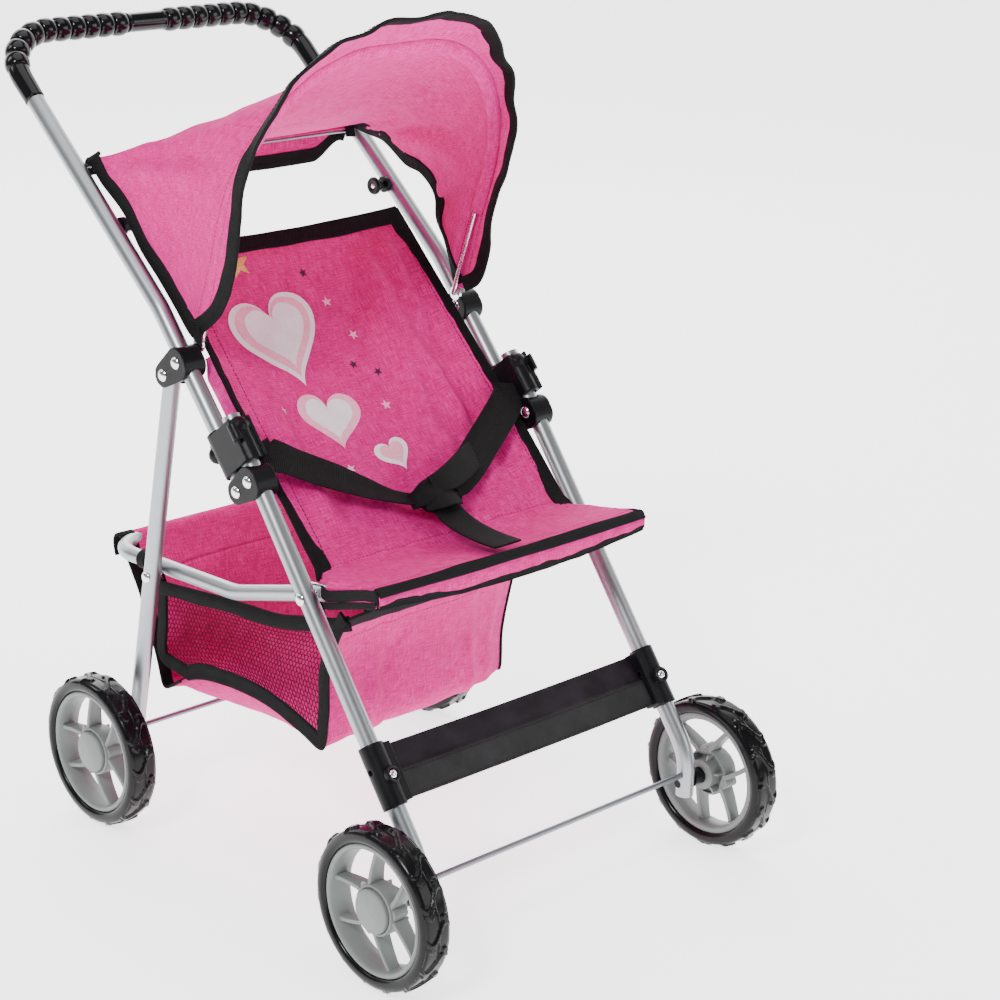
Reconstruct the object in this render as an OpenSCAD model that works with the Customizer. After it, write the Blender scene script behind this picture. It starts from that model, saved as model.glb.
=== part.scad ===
// Folding doll stroller: tube frame, four wheels, sling seat, hood and basket.
// Millimetres. Z up, the child faces -Y, X runs across. Origin on the floor at the middle of the footprint.

/* [Wheels] */
// Outside diameter of each wheel
wheel_d = 110; // [106:1:112]
// Width of a tyre across its tread
tyre_w = 22; // [18:1:24]
// Distance from the middle plane to the middle of a tyre
wheel_x = 155.5; // [153:0.5:158]
// Diameter of the axle stub each wheel turns on
axle_d = 6; // [5:0.5:6.5]
// Radial running clearance of the wheels on their axles
axle_gap = 0.06; // [0.02:0.01:0.1]

/* [Frame tubes] */
// Outside diameter of the push handle and front leg tubes
tube_d = 12.5; // [12:0.1:12.6]
// Outside diameter of the rear leg tubes
rear_tube_d = 12; // [11:0.1:12.4]
// Outside diameter of the basket tube
basket_tube_d = 11; // [9:0.1:11]
// Wall of the tubes
wall = 1.2; // [0.8:0.1:1.6]
// Distance from the middle plane to the side tubes
tube_x = 126; // [125.5:0.1:126.5]
// Distance from the middle plane to the basket tube's arms
basket_x = 113.5; // [112.5:0.1:113.8]
// Bend radius of the handle's two corners
handle_bend = 43; // [36:1:50]

/* [Grip] */
// Outside diameter of a grip bead
bead_d = 17; // [15:0.5:17]
// Distance between two beads
bead_pitch = 13; // [12:0.5:13]
// Number of beads on each side
bead_n = 10; // [6:1:10]
// Outside diameter of the sleeve between beads
neck_d = 14.4; // [14.2:0.1:14.6]

/* [Joints] */
// Diameter of the frame rivets
rivet_d = 5; // [4:0.5:6]
// Radial running clearance at the pivots
pivot_gap = 0.05; // [0.02:0.01:0.1]
// Length of a sliding lock
lock_len = 32; // [30:1:33]

/* [Hood] */
// Half width of the hood wire
bow_a = 118; // [112:1:118]
// Height of the hood wire above its pivots
bow_h = 204; // [190:1:206]
// Forward lean of the hood wire in degrees
bow_lean = 17.5; // [15:0.5:18]
// Half width of the hood's front brim
brim_a = 124; // [118:1:126]
// Length of the brim's arch from pivot to top
brim_h = 238; // [225:1:238]
// Forward lean of the brim in degrees
brim_lean = 24; // [24:0.5:28]
// Thickness of the hood cloth
hood_t = 1.6; // [1.2:0.1:2]

/* [Seat and basket] */
// Half width of the seat sling
seat_a = 112; // [108:1:112]
// Thickness of the seat cloth
seat_t = 3; // [2:0.5:3]
// Half width of the basket's front panel
basket_a = 90; // [84:1:92]
// Thickness of the basket cloth
basket_t = 2; // [1.6:0.2:2.4]
// Width of the harness webbing
web_w = 24; // [20:1:25]

/* [Hidden] */
$fn = 48;
R = wheel_d/2;
tr = tube_d/2;
rr = rear_tube_d/2;
br = basket_tube_d/2;

// side-plane stations [y, z]
front_axle = [-204.8, R];
rear_axle = [100.3, R];
pivA = [49.3, 340.4];      // rear leg pivot in the upper bracket
rivA = [34.95, 352.1];      // upper bracket's rivet on the handle tube
rivB = [-41.7, 289.3];     // lower bracket's rivet on the front leg
pivB = [-29.6, 279.2];     // handle fold pivot in the lower bracket
pivC = [-93.2, 222.7];     // basket tube pivot on the front leg
rivD = [75.7, 187.3];      // rivet between basket tube and rear leg
screwF = [-167.1, 127.3];  // footrest screw
stud = [115.7, 427.7];     // stud that hangs the seat back
kink = [62.3, 383];        // bend in the handle leg
top = [251.3, 539.5];      // handle crossbar
rod = [154.3, 462.4];      // rod at the back of the hood
bow0 = [33.3, 362];        // hood wire pivots

function unit(v) = v/norm(v);
function dir2(a, b) = unit(b - a);
lowd = dir2(screwF, rivB);            // direction up the front leg
upd = dir2(pivB, kink);               // direction up the handle's lower end
legd = dir2(kink, top);               // direction up the handle's long leg
reard = dir2(pivA, rear_axle);        // direction down the rear leg
function p3(x, p) = [x, p[0], p[1]];
function ang(d) = atan2(d[1], d[0]);

foot_corner = [-206.5, screwF[1] + (-206.5 - screwF[0])/lowd[0]*lowd[1]];
leg_top = rivB + lowd*46;
handle_end = pivB - upd*5;
lock_c = pivB + upd*27.5;

// ---------- general shapes ----------
module ex(w) { rotate([90, 0, 90]) linear_extrude(w, center = true) children(); }
module xcyl(r, l, c = [0, 0, 0]) { translate(c) rotate([0, 90, 0]) cylinder(r = r, h = l, center = true); }
module both() { children(); mirror([1, 0, 0]) children(); }
module rt(s) { if (s < 0) mirror([1, 0, 0]) children(); else children(); }

module stick(a, b, r, ri = 0) {
  d = b - a; l = norm(d); w = d/l;
  u = abs(w[0]) > 0.9 ? unit(cross([0, 0, 1], w)) : unit(cross([1, 0, 0], w));
  v = cross(w, u);
  multmatrix([[u[0], v[0], w[0], a[0]], [u[1], v[1], w[1], a[1]], [u[2], v[2], w[2], a[2]], [0, 0, 0, 1]])
    difference() { cylinder(r = r, h = l); if (ri > 0) translate([0, 0, -1]) cylinder(r = ri, h = l + 2); }
}
module elbow(p, d1, d2, rad, r, ri = 0) {
  th = acos(d1*d2);
  t = rad*tan(th/2);
  s = p - d1*t;
  nrm = unit(cross(cross(d1, d2), d1));
  c = s + nrm*rad;
  u = -nrm; w = cross(u, d1);
  multmatrix([[u[0], d1[0], w[0], c[0]], [u[1], d1[1], w[1], c[1]], [u[2], d1[2], w[2], c[2]], [0, 0, 0, 1]])
    rotate_extrude(angle = th, $fn = 96) translate([rad, 0]) difference() { circle(r); if (ri > 0) circle(ri); }
}
// a tube along points, with a bend radius at each inner point
module pipe(pts, rads, r, ri = 0) {
  n = len(pts);
  d = [for (i = [0:n - 2]) unit(pts[i + 1] - pts[i])];
  t = [for (i = [0:n - 1]) (i == 0 || i == n - 1) ? 0 : rads[i]*tan(acos(d[i - 1]*d[i])/2)];
  // the bends are a hair thicker than the straights and overlap them, so that the pieces join cleanly
  v = [for (q = rads) min(1, sqrt(q*0.04))];
  difference() {
    union() {
      for (i = [0:n - 2]) stick(pts[i] + d[i]*(t[i] - v[i]), pts[i + 1] - d[i]*(t[i + 1] - v[i + 1]), r);
      for (i = [1:n - 2]) elbow(pts[i], d[i - 1], d[i], rads[i], r + 0.04);
    }
    if (ri > 0) union() {
      for (i = [0:n - 2]) stick(pts[i] + d[i]*(t[i] - 1), pts[i + 1] - d[i]*(t[i + 1] - 1), ri);
      for (i = [1:n - 2]) elbow(pts[i], d[i - 1], d[i], rads[i], ri - 0.04);
    }
  }
}
// closed skin between two grids of points, G outside and H inside
module skin(G, H) {
  nr = len(G); nc = len(G[0]);
  k = nr*nc; m = floor(nc/2) - 1;
  out = cross(G[1][m] - G[0][m], G[0][m + 1] - G[0][m])*(G[0][m] - H[0][m]) > 0;
  function id(i, j) = i*nc + j;
  pts = concat([for (r = G) for (p = r) p], [for (r = H) for (p = r) p]);
  f = concat(
    [for (i = [0:nr - 2]) for (j = [0:nc - 2]) for (q = [[id(i, j), id(i + 1, j), id(i + 1, j + 1)], [id(i, j), id(i + 1, j + 1), id(i, j + 1)]]) q],
    [for (i = [0:nr - 2]) for (j = [0:nc - 2]) for (q = [[k + id(i, j), k + id(i + 1, j + 1), k + id(i + 1, j)], [k + id(i, j), k + id(i, j + 1), k + id(i + 1, j + 1)]]) q],
    [for (i = [0:nr - 2]) for (q = [[id(i, 0), k + id(i, 0), k + id(i + 1, 0)], [id(i, 0), k + id(i + 1, 0), id(i + 1, 0)]]) q],
    [for (i = [0:nr - 2]) for (q = [[id(i, nc - 1), k + id(i + 1, nc - 1), k + id(i, nc - 1)], [id(i, nc - 1), id(i + 1, nc - 1), k + id(i + 1, nc - 1)]]) q],
    [for (j = [0:nc - 2]) for (q = [[id(0, j), k + id(0, j + 1), k + id(0, j)], [id(0, j), id(0, j + 1), k + id(0, j + 1)]]) q],
    [for (j = [0:nc - 2]) for (q = [[id(nr - 1, j), k + id(nr - 1, j), k + id(nr - 1, j + 1)], [id(nr - 1, j), k + id(nr - 1, j + 1), id(nr - 1, j + 1)]]) q]);
  polyhedron(points = pts, faces = out ? [for (q = f) [q[2], q[1], q[0]]] : f, convexity = 6);
}
// webbing along points, w wide along the given directions, t thick along n
module web(pts, wd, w, t, n) {
  skin([for (i = [0:len(pts) - 1]) [pts[i] - wd[i]*w/2 + n*t/2, pts[i] + wd[i]*w/2 + n*t/2]],
       [for (i = [0:len(pts) - 1]) [pts[i] - wd[i]*w/2 - n*t/2, pts[i] + wd[i]*w/2 - n*t/2]]);
}

// ---------- front frame ----------
module front_leg(s) {
  rt(s) color("silver") difference() {
    pipe([p3(tube_x, [foot_corner[0], 45.8]), p3(tube_x, foot_corner), p3(tube_x, leg_top)], [0, 40, 0], tr, tr - wall);
    for (q = [rivB, pivC]) xcyl(rivet_d/2, 40, p3(tube_x, q));
    xcyl(axle_d/2, 40, p3(tube_x, front_axle));
    xcyl(1.9, 40, p3(tube_x, screwF));
  }
}
module front_leg_left() { front_leg(1); }
module front_leg_right() { front_leg(-1); }

foot_a = screwF + lowd*17;
foot_b = screwF - lowd*26;
module footrest_sleeve(s) {
  rt(s) color([0.06, 0.06, 0.065]) difference() {
    union() {
      stick(p3(tube_x, foot_b), p3(tube_x, foot_a), tr + 2.2);
      translate(p3(tube_x - tr - 2.6, screwF - lowd*4.5)) rotate([ang(lowd), 0, 0]) cube([5.2, 40, 13], center = true);
    }
    stick(p3(tube_x, foot_b - lowd*1), p3(tube_x, foot_a + lowd*1), tr + 0.05);
    xcyl(1.9, 40, p3(tube_x, screwF));
  }
}
module footrest_sleeve_left() { footrest_sleeve(1); }
module footrest_sleeve_right() { footrest_sleeve(-1); }
module footrest_band() {
  color([0.09, 0.09, 0.1]) translate(p3(0, screwF - lowd*4.5)) rotate([ang(lowd), 0, 0])
    union() { cube([2*(tube_x - tr - 5.4), 38, 1.6], center = true); translate([0, -13, 0]) cube([2*(tube_x - tr - 5.4), 12, 2.4], center = true); }
}
module footrest_screws() {
  color("gainsboro") both() {
    translate(p3(tube_x, screwF)) rotate([0, 90, 0]) rotate_extrude() polygon([[0, -tr - 2.4], [1.85, -tr - 2.4], [1.85, tr + 2.25], [3.9, tr + 2.25], [3.6, tr + 3.4], [2.4, tr + 4.3], [0, tr + 4.6]]);
  }
}
module front_cross_rod() {
  color("silver") {
    xcyl(2, 2*(tube_x - tr) - 0.2, p3(0, [front_axle[0] - 2.6, 62.5]));
  }
}
module spacer_axle(c) {
  xcyl(axle_d/2, 44.5, p3(tube_x + 16, c));
  difference() { xcyl(6, 9.6, p3(tube_x + tr + 5.4, c)); xcyl(axle_d/2 + 0.01, 12, p3(tube_x + tr + 5.4, c)); }
}
module front_axles() {
  color("gray") both() { xcyl(axle_d/2 - 0.05, 44.5, p3(tube_x + 16, front_axle)); }
  color("gray") both() { difference() { xcyl(6, 9.4, p3(tube_x + tr + 5.5, front_axle)); xcyl(axle_d/2 - 0.05, 12, p3(tube_x + tr + 5.4, front_axle)); } }
}

// saddle bracket: wraps a tube at p, carries an ear to q
module bracket(p, q, d, up, back) {
  w = tube_d + 5;
  difference() {
    union() {
      ex(w) hull() { translate(p - d*3) circle(9.5); translate(p + d*1) circle(9.5); translate(q) circle(8.4); }
    }
    stick(p3(0, p - d*40), p3(0, p + d*40), tr + 0.06);
    // the slot the second tube turns in
    translate(p3(0, p + [d[1], -d[0]]*(tr + 0.9 + 20))) rotate([ang(d), 0, 0]) cube([tube_d + 0.7, 120, 40], center = true);
    xcyl(rivet_d/2, 60, p3(0, p));
    xcyl(rivet_d/2, 60, p3(0, q));
  }
}
module hinge_bracket(s) { rt(s) color([0.05, 0.05, 0.055]) translate([tube_x, 0, 0]) bracket(rivB, pivB, lowd, 5, 3); }
module hinge_bracket_left() { hinge_bracket(1); }
module hinge_bracket_right() { hinge_bracket(-1); }
// a domed rivet along X, centred at c, l between its heads
module rivet_at(c, l, one = false) {
  r = rivet_d/2 - 0.02; h = l/2;
  low = one ? [[0, -h], [r, -h]] : [[0, -h - 1.9], [2, -h - 1.6], [3.5, -h - 0.9], [4.2, -h], [r, -h]];
  translate(c) rotate([0, 90, 0]) rotate_extrude() polygon(concat(low, [[r, h], [4.2, h], [3.5, h + 0.9], [2, h + 1.6], [0, h + 1.9]]));
}
module rivet(p, l) { rivet_at(p3(tube_x, p), l); }
module hinge_rivets() { color("gainsboro") both() { rivet(rivB, tube_d + 5.2); rivet(pivB, tube_d + 5.2); } }

wire_r = 1;
module seat_front_wire() {
  color("silver") pipe([[-118.3, -88, 229.2], [-118.3, -150, 238.4], [118.3, -150, 238.4], [118.3, -88, 229.2]], [0, 9, 9, 0], wire_r);
}
module seat_base() {
  color([0.86, 0.16, 0.52]) ex(2*seat_a + 14) polygon([[-155.5, 243], [-155.5, 229], [-153, 229], [-153, 240.6], [-118, 237.8], [-92, 232.2], [-91, 235.2], [-117, 240.8], [-150, 243.4]]);
}
seatn = [-0.7071, 0.7071];
sb0 = [-90, 235.6]; sb1 = [90, 415.6];
module slab(u0, u1, xa, xb) {
  d = dir2(sb0, sb1);
  a = sb0 + d*u0; b = sb0 + d*u1; nrm = [-d[1], d[0]];
  skin([[p3(-xa, a + nrm*seat_t/2), p3(xa, a + nrm*seat_t/2)], [p3(-xb, b + nrm*seat_t/2), p3(xb, b + nrm*seat_t/2)]],
       [[p3(-xa, a - nrm*seat_t/2), p3(xa, a - nrm*seat_t/2)], [p3(-xb, b - nrm*seat_t/2), p3(xb, b - nrm*seat_t/2)]]);
}
sb_cut = 73.5;
module seat_back_lower() { color([0.83, 0.14, 0.5]) slab(2, sb_cut - 0.4, seat_a, seat_a); }
module seat_back() { color([0.86, 0.16, 0.52]) slab(sb_cut + 0.4, norm(sb1 - sb0), seat_a, seat_a - 6); }

// harness
module waist_strap(s) {
  rt(s) color([0.05, 0.05, 0.05]) {
    pts = [[109, -33, 300.5], [86, -44, 288.5], [58, -57, 276], [36, -66, 266], [18, -72, 260]];
    web(pts, [for (p = pts) unit([0.16, 0.7, 0.7])], web_w, 1.2, unit([0, -0.7, 0.7]));
  }
}
module waist_strap_left() { waist_strap(1); }
module waist_strap_right() { waist_strap(-1); }
module crotch_strap() {
  color([0.05, 0.05, 0.05]) {
    pts = [[0, -70, 259.5], [0, -84, 253], [0, -100, 247.5], [0, -125, 245.8], [0, -148, 246]];
    web(pts, [for (p = pts) [1, 0, 0]], web_w, 1.2, unit([0, 0.2, 1]));
  }
}
module strap_loop() {
  color([0.05, 0.05, 0.05]) translate([0, -77.4, 256.6]) rotate([24.9, 0, 0]) difference() { cube([web_w + 5, 8, 6], center = true); cube([web_w + 0.8, 20, 3], center = true); }
}

// ---------- handle ----------
handle_pts = concat([p3(-tube_x, handle_end), p3(-tube_x, kink), p3(-tube_x, top)], [p3(tube_x, top), p3(tube_x, kink), p3(tube_x, handle_end)]);
module handle_tube() {
  color("silver") difference() {
    pipe(handle_pts, [0, 60, handle_bend, handle_bend, 60, 0], tr, tr - wall);
    both() { xcyl(rivet_d/2 - 0.02 + pivot_gap, 40, p3(tube_x, pivB)); xcyl(rivet_d/2, 40, p3(tube_x, rivA)); }
  }
}
// point at distance s from the start of one side's grip, measured round the corner
grip_start = top - legd*(handle_bend + 18);
arc_l = handle_bend*PI/2;
function grip_at(s) = s < 18 ? p3(tube_x, grip_start + legd*s)
  : s < 18 + arc_l ? let (a = (s - 18)/arc_l*90, c = p3(tube_x - handle_bend, top - legd*handle_bend))
      c + [handle_bend*cos(a), 0, 0] + p3(0, legd)*handle_bend*sin(a)
  : p3(tube_x - handle_bend - (s - 18 - arc_l), top);
grip_len = 18 + arc_l + tube_x - handle_bend - 17;
module grip(s) {
  rt(s) color([0.04, 0.04, 0.045]) difference() {
    union() {
      stick(p3(tube_x, grip_start), p3(tube_x, grip_start + legd*20), neck_d/2);
      stick(p3(17, top), p3(tube_x - handle_bend + 2, top), bead_d/2 - 0.05);
      elbow(p3(tube_x, top), p3(0, legd), [-1, 0, 0], handle_bend, bead_d/2);
    }
    pipe([p3(tube_x, grip_start - legd*2), p3(tube_x, top), p3(15, top)], [0, handle_bend, 0], tr + 0.1);
  }
}
module grip_left() { grip(1); }
module grip_right() { grip(-1); }
module grip_middle() { color([0.04, 0.04, 0.045]) difference() { xcyl(neck_d/2 - 0.1, 33.8, p3(0, top)); xcyl(tr + 0.05, 40, p3(0, top)); } }
module upper_bracket(s) { rt(s) color([0.05, 0.05, 0.055]) translate([tube_x, 0, 0]) bracket(rivA, pivA, upd, 5, 3); }
module upper_bracket_left() { upper_bracket(1); }
module upper_bracket_right() { upper_bracket(-1); }
module bracket_rivets() { color("gainsboro") both() { rivet(rivA, tube_d + 5.2); rivet(pivA, tube_d + 5.2);
    // boss the hood wire turns in
    difference() { xcyl(5, 2.1, p3(bow_a - 1.9, bow0)); xcyl(1.55, 8, p3(bow_a - 1.9, bow0)); } } }
module canopy_rod() { color("silver") xcyl(1.5, 2*(tube_x - tr) - 0.1, p3(0, rod + [legd[1], -legd[0]]*0)); }
module seat_studs() {
  color("black") both() {
    difference() { xcyl(6, 3, p3(tube_x - tr - 1.8, stud)); xcyl(2.4, 8, p3(tube_x - tr - 2, stud)); }
    translate(p3(0, stud)) rotate([0, 90, 0]) rotate_extrude() polygon([[0, 107.4], [2.6, 107.9], [4.2, 109.4], [4.6, 111.2], [4.2, 113.2], [2.35, 114.4], [2.35, 119.6], [0, 119.6]]);
  }
}

// ---------- hood ----------
function arch(u, b, lean, a, h, e, narrow) =
  let (c = pow(max(cos(u), 0), 2/e), s = sign(u)*pow(abs(sin(u)), 2/e), hh = c*h, k = 1 - narrow*pow(1 - c, 2))
  [s*a*k, b[0] - hh*sin(lean), b[1] + hh*cos(lean)];
us = [for (i = [-16:16]) i*82/16];
function bow_pt(u) = arch(u, bow0, bow_lean, bow_a, bow_h, 2.8, 0.02);
function brim_pt(u) = arch(u, [29.5, 366], brim_lean, brim_a, brim_h, 2.8, 0.08);
// rear outline: up the handle legs and across the rod
function back_pt(u) = let (l = 118, q = rod - bow0, w = abs(u) < 45 ? u/45 : sign(u), hh = abs(u) < 45 ? 1 : max(0, 1 - (abs(u) - 45)/37*0.93))
  [w*117, bow0[0] + 6 + (q[0] - 6)*hh, bow0[1] + 18 + (q[1] - 15)*hh];
function mix(a, b, t) = a*(1 - t) + b*t;
hub = [0, 30, 380];
function inner(p) = p - unit(p - hub)*hood_t;
bown = [0, -cos(bow_lean), -sin(bow_lean)];
function inbow(x, h) = [x, bow0[0] - h*sin(bow_lean), bow0[1] + h*cos(bow_lean)];
module canopy_bow() {
  color("silver") {
    pipe([inbow(bow_a - 4.8, 0), inbow(bow_a - 2.5, bow_h*0.627), inbow(bow_a*0.576, bow_h*0.99), inbow(-bow_a*0.576, bow_h*0.99), inbow(-bow_a + 2.5, bow_h*0.627), inbow(-bow_a + 4.8, 0)],
      [0, 110, 88, 88, 110, 0], 1.5);
    both() xcyl(1.5, 4.4, p3(bow_a - 3.2, bow0));
  }
}
module canopy_roof() {
  G = [for (t = [0, 0.25, 0.5, 0.75, 1]) [for (u = us) let (a = back_pt(u) + [0, 1, 3.4], b = bow_pt(u) - bown*2.6, m = mix(a, b, t)) m + [0, 0, -9*t*(1 - t)*4*0.35]]];
  color([0.86, 0.16, 0.52]) skin(G, [for (r = G) [for (p = r) inner(p)]]);
}
module canopy_visor() {
  G = [for (t = [0, 0.5, 1]) [for (u = us) mix(bow_pt(u) + bown*2.6, brim_pt(u), t)]];
  color([0.86, 0.16, 0.52]) skin(G, [for (r = G) [for (p = r) inner(p)]]);
}
module canopy_back_flap() { color([0.83, 0.14, 0.5]) translate(p3(0, rod + [-2.6, -13])) rotate([-8, 0, 0]) cube([206, 1.4, 20], center = true); }

// ---------- sliding lock ----------
// sleeve on the handle tube with two cheeks beside the front leg's end; open to the front
module lock(s) {
  a = [ang(upd) - 90, 0, 0];
  rt(s) color([0.05, 0.05, 0.055]) difference() {
    union() {
      translate(p3(tube_x, lock_c)) rotate(a) {
        cylinder(r = tr + 2.6, h = lock_len, center = true);
        translate([0, -13, -1]) cube([tube_d + 5.2, 26, lock_len - 2], center = true);
        translate([tr + 1.1, -26, 4]) cylinder(r = 4, h = 12, center = true);
        translate([0, 8.5, 6]) cylinder(r = 4.5, h = 11, center = true);
      }
    }
    translate(p3(tube_x, lock_c)) rotate(a) translate([0, 0, -60]) cylinder(r = tr + 0.3, h = 120);
    translate(p3(tube_x, lock_c)) rotate(a) translate([0, -30, 0]) cube([tube_d + 0.8, 44, 80], center = true);
  }
}
module lock_left() { lock(1); }
module lock_right() { lock(-1); }

// ---------- basket ----------
basket_pts = [p3(-basket_x, pivC + [-4.1, 1.25]), [-basket_x, -2.7, 195.5], [-basket_x, 147.5, 186.5], [basket_x, 147.5, 186.5], [basket_x, -2.7, 195.5], p3(basket_x, pivC + [-4.1, 1.25])];
module basket_frame() {
  color("silver") difference() {
    pipe(basket_pts, [0, 60, 32, 32, 60, 0], br, br - wall);
    both() xcyl(rivet_d/2 - 0.02 + pivot_gap, 14, p3(basket_x, pivC));
    both() xcyl(rivet_d/2, 14, p3(basket_x, rivD));
  }
}
module basket_pivots() {
  color("gainsboro") both() {
    rivet_at(p3((tube_x + tr + basket_x - br)/2, pivC), tube_x + tr - basket_x + br + 0.3);
  }
}
// open-topped cloth tub hung in the basket tube
function tub(g, zt, a) = [
  [[-a, -100 + g, zt], [a, -100 + g, zt], [a + 9, 131 - g, zt - 16], [-a - 9, 131 - g, zt - 16]],
  [[-a + 3, -70 + g, 92 + g], [a - 3, -70 + g, 92 + g], [a + 7, 100 - g, 80 + g], [-a - 7, 100 - g, 80 + g]]];
module tubsolid(T) {
  polyhedron(points = concat(T[0], T[1]), faces = [[0, 3, 2], [0, 2, 1], [4, 5, 6], [4, 6, 7], [0, 1, 5], [0, 5, 4], [1, 2, 6], [1, 6, 5], [2, 3, 7], [2, 7, 6], [3, 0, 4], [3, 4, 7]]);
}
module basket() {
  color([0.86, 0.16, 0.52]) difference() {
    tubsolid(tub(0, 206, basket_a));
    tubsolid(tub(basket_t, 206.01, basket_a - basket_t));
  }
}

// ---------- rear legs ----------
module rear_leg(s) {
  rt(s) color("silver") difference() {
    stick(p3(tube_x, pivA - reard*6.4), p3(tube_x, rear_axle + reard*10.2), rr, rr - wall);
    xcyl(rivet_d/2 - 0.02 + pivot_gap, 40, p3(tube_x, pivA));
    xcyl(rivet_d/2, 40, p3(tube_x, rivD));
    xcyl(axle_d/2, 40, p3(tube_x, rear_axle));
  }
}
module rear_leg_left() { rear_leg(1); }
module rear_leg_right() { rear_leg(-1); }
module rear_cross_rod() { color("silver") xcyl(2, 2*(tube_x - rr), p3(0, [rear_axle[0] - 1.6, 64])); }
module rear_axles() {
  color("gray") both() { xcyl(axle_d/2 - 0.05, 44.5, p3(tube_x + 16, rear_axle)); }
  color("gray") both() { difference() { xcyl(6, 9.4, p3(tube_x + tr + 5.5, rear_axle)); xcyl(axle_d/2 - 0.05, 12, p3(tube_x + tr + 5.4, rear_axle)); } }
}
module leg_rivets() { color("gainsboro") both() rivet_at(p3(tube_x, rivD), rear_tube_d + 0.1, true); }

// ---------- wheels ----------
rim_r = 44.4;
module wheel_at(s, c) { rt(s) translate(p3(wheel_x, c)) rotate([0, 90, 0]) children(); }
module tyre() {
  h = tyre_w/2;
  color([0.05, 0.05, 0.055]) rotate_extrude($fn = 96) difference() {
    polygon([[rim_r, -h + 2], [rim_r + 3, -h], [R - 5, -h], [R - 1.6, -h + 2], [R, -h + 5], [R, h - 5], [R - 1.6, h - 2], [R - 5, h], [rim_r + 3, h], [rim_r, h - 2]]);
  }
}
module spoke() {
  polygon([[11, 0], [13, 8.5], [27.6, 31], [33, 27.4], [19.4, 0], [33, -27.4], [27.6, -31], [13, -8.5]]);
}
module rim() {
  color([0.62, 0.64, 0.64]) difference() {
    union() {
      rotate_extrude($fn = 96) polygon([[37.4, -8.4], [rim_r - 0.05, -8.4], [rim_r - 0.05, 8.8], [37.4, 8.8]]);
      translate([0, 0, -4]) linear_extrude(10.4) intersection() { circle(38.6, $fn = 96); union() { for (k = [0:2]) rotate(k*120) spoke(); } }
      translate([0, 0, -12.2]) cylinder(r = 11, h = 14);
      translate([0, 0, -5]) cylinder(r = 17.2, h = 12.2);
    }
    translate([0, 0, -20]) cylinder(r = axle_d/2 - 0.05 + axle_gap, h = 40);
    translate([0, 0, 4.8]) cylinder(r = 14.6, h = 10);
  }
}
module cap() { color([0.64, 0.66, 0.66]) difference() { union() { translate([0, 0, 4.85]) cylinder(r = 14.5, h = 4); translate([0, 0, 8.8]) intersection() { translate([0, 0, -38]) sphere(41.2, $fn = 96); cylinder(r = 15.6, h = 5); } }
    translate([0, 0, 0]) cylinder(r = axle_d/2 + 1, h = 9.4); } }
module tyre_front_left() { wheel_at(1, front_axle) tyre(); }
module rim_front_left() { wheel_at(1, front_axle) rim(); }
module cap_front_left() { wheel_at(1, front_axle) cap(); }
module tyre_front_right() { wheel_at(-1, front_axle) tyre(); }
module rim_front_right() { wheel_at(-1, front_axle) rim(); }
module cap_front_right() { wheel_at(-1, front_axle) cap(); }
module tyre_rear_left() { wheel_at(1, rear_axle) tyre(); }
module rim_rear_left() { wheel_at(1, rear_axle) rim(); }
module cap_rear_left() { wheel_at(1, rear_axle) cap(); }
module tyre_rear_right() { wheel_at(-1, rear_axle) tyre(); }
module rim_rear_right() { wheel_at(-1, rear_axle) rim(); }
module cap_rear_right() { wheel_at(-1, rear_axle) cap(); }

front_leg_left();
front_leg_right();
footrest_sleeve_left();
footrest_sleeve_right();
footrest_band();
footrest_screws();
front_cross_rod();
hinge_bracket_left();
hinge_bracket_right();
hinge_rivets();
seat_front_wire();
seat_base();
seat_back_lower();
waist_strap_left();
waist_strap_right();
crotch_strap();
strap_loop();
front_axles();
handle_tube();
grip_left();
grip_right();
grip_middle();
upper_bracket_left();
upper_bracket_right();
bracket_rivets();
canopy_rod();
canopy_roof();
canopy_back_flap();
seat_back();
seat_studs();
canopy_bow();
canopy_visor();
lock_left();
lock_right();
basket_frame();
basket_pivots();
basket();
rear_leg_left();
rear_leg_right();
rear_cross_rod();
rear_axles();
leg_rivets();
tyre_front_left();
rim_front_left();
cap_front_left();
tyre_front_right();
rim_front_right();
cap_front_right();
tyre_rear_left();
rim_rear_left();
cap_rear_left();
tyre_rear_right();
rim_rear_right();
cap_rear_right();
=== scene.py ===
# Doll stroller: the looks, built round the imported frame. Lengths in this script are millimetres until the last step.
import bpy, bmesh, math
import numpy as np
from mathutils import Vector, Matrix, noise


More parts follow.
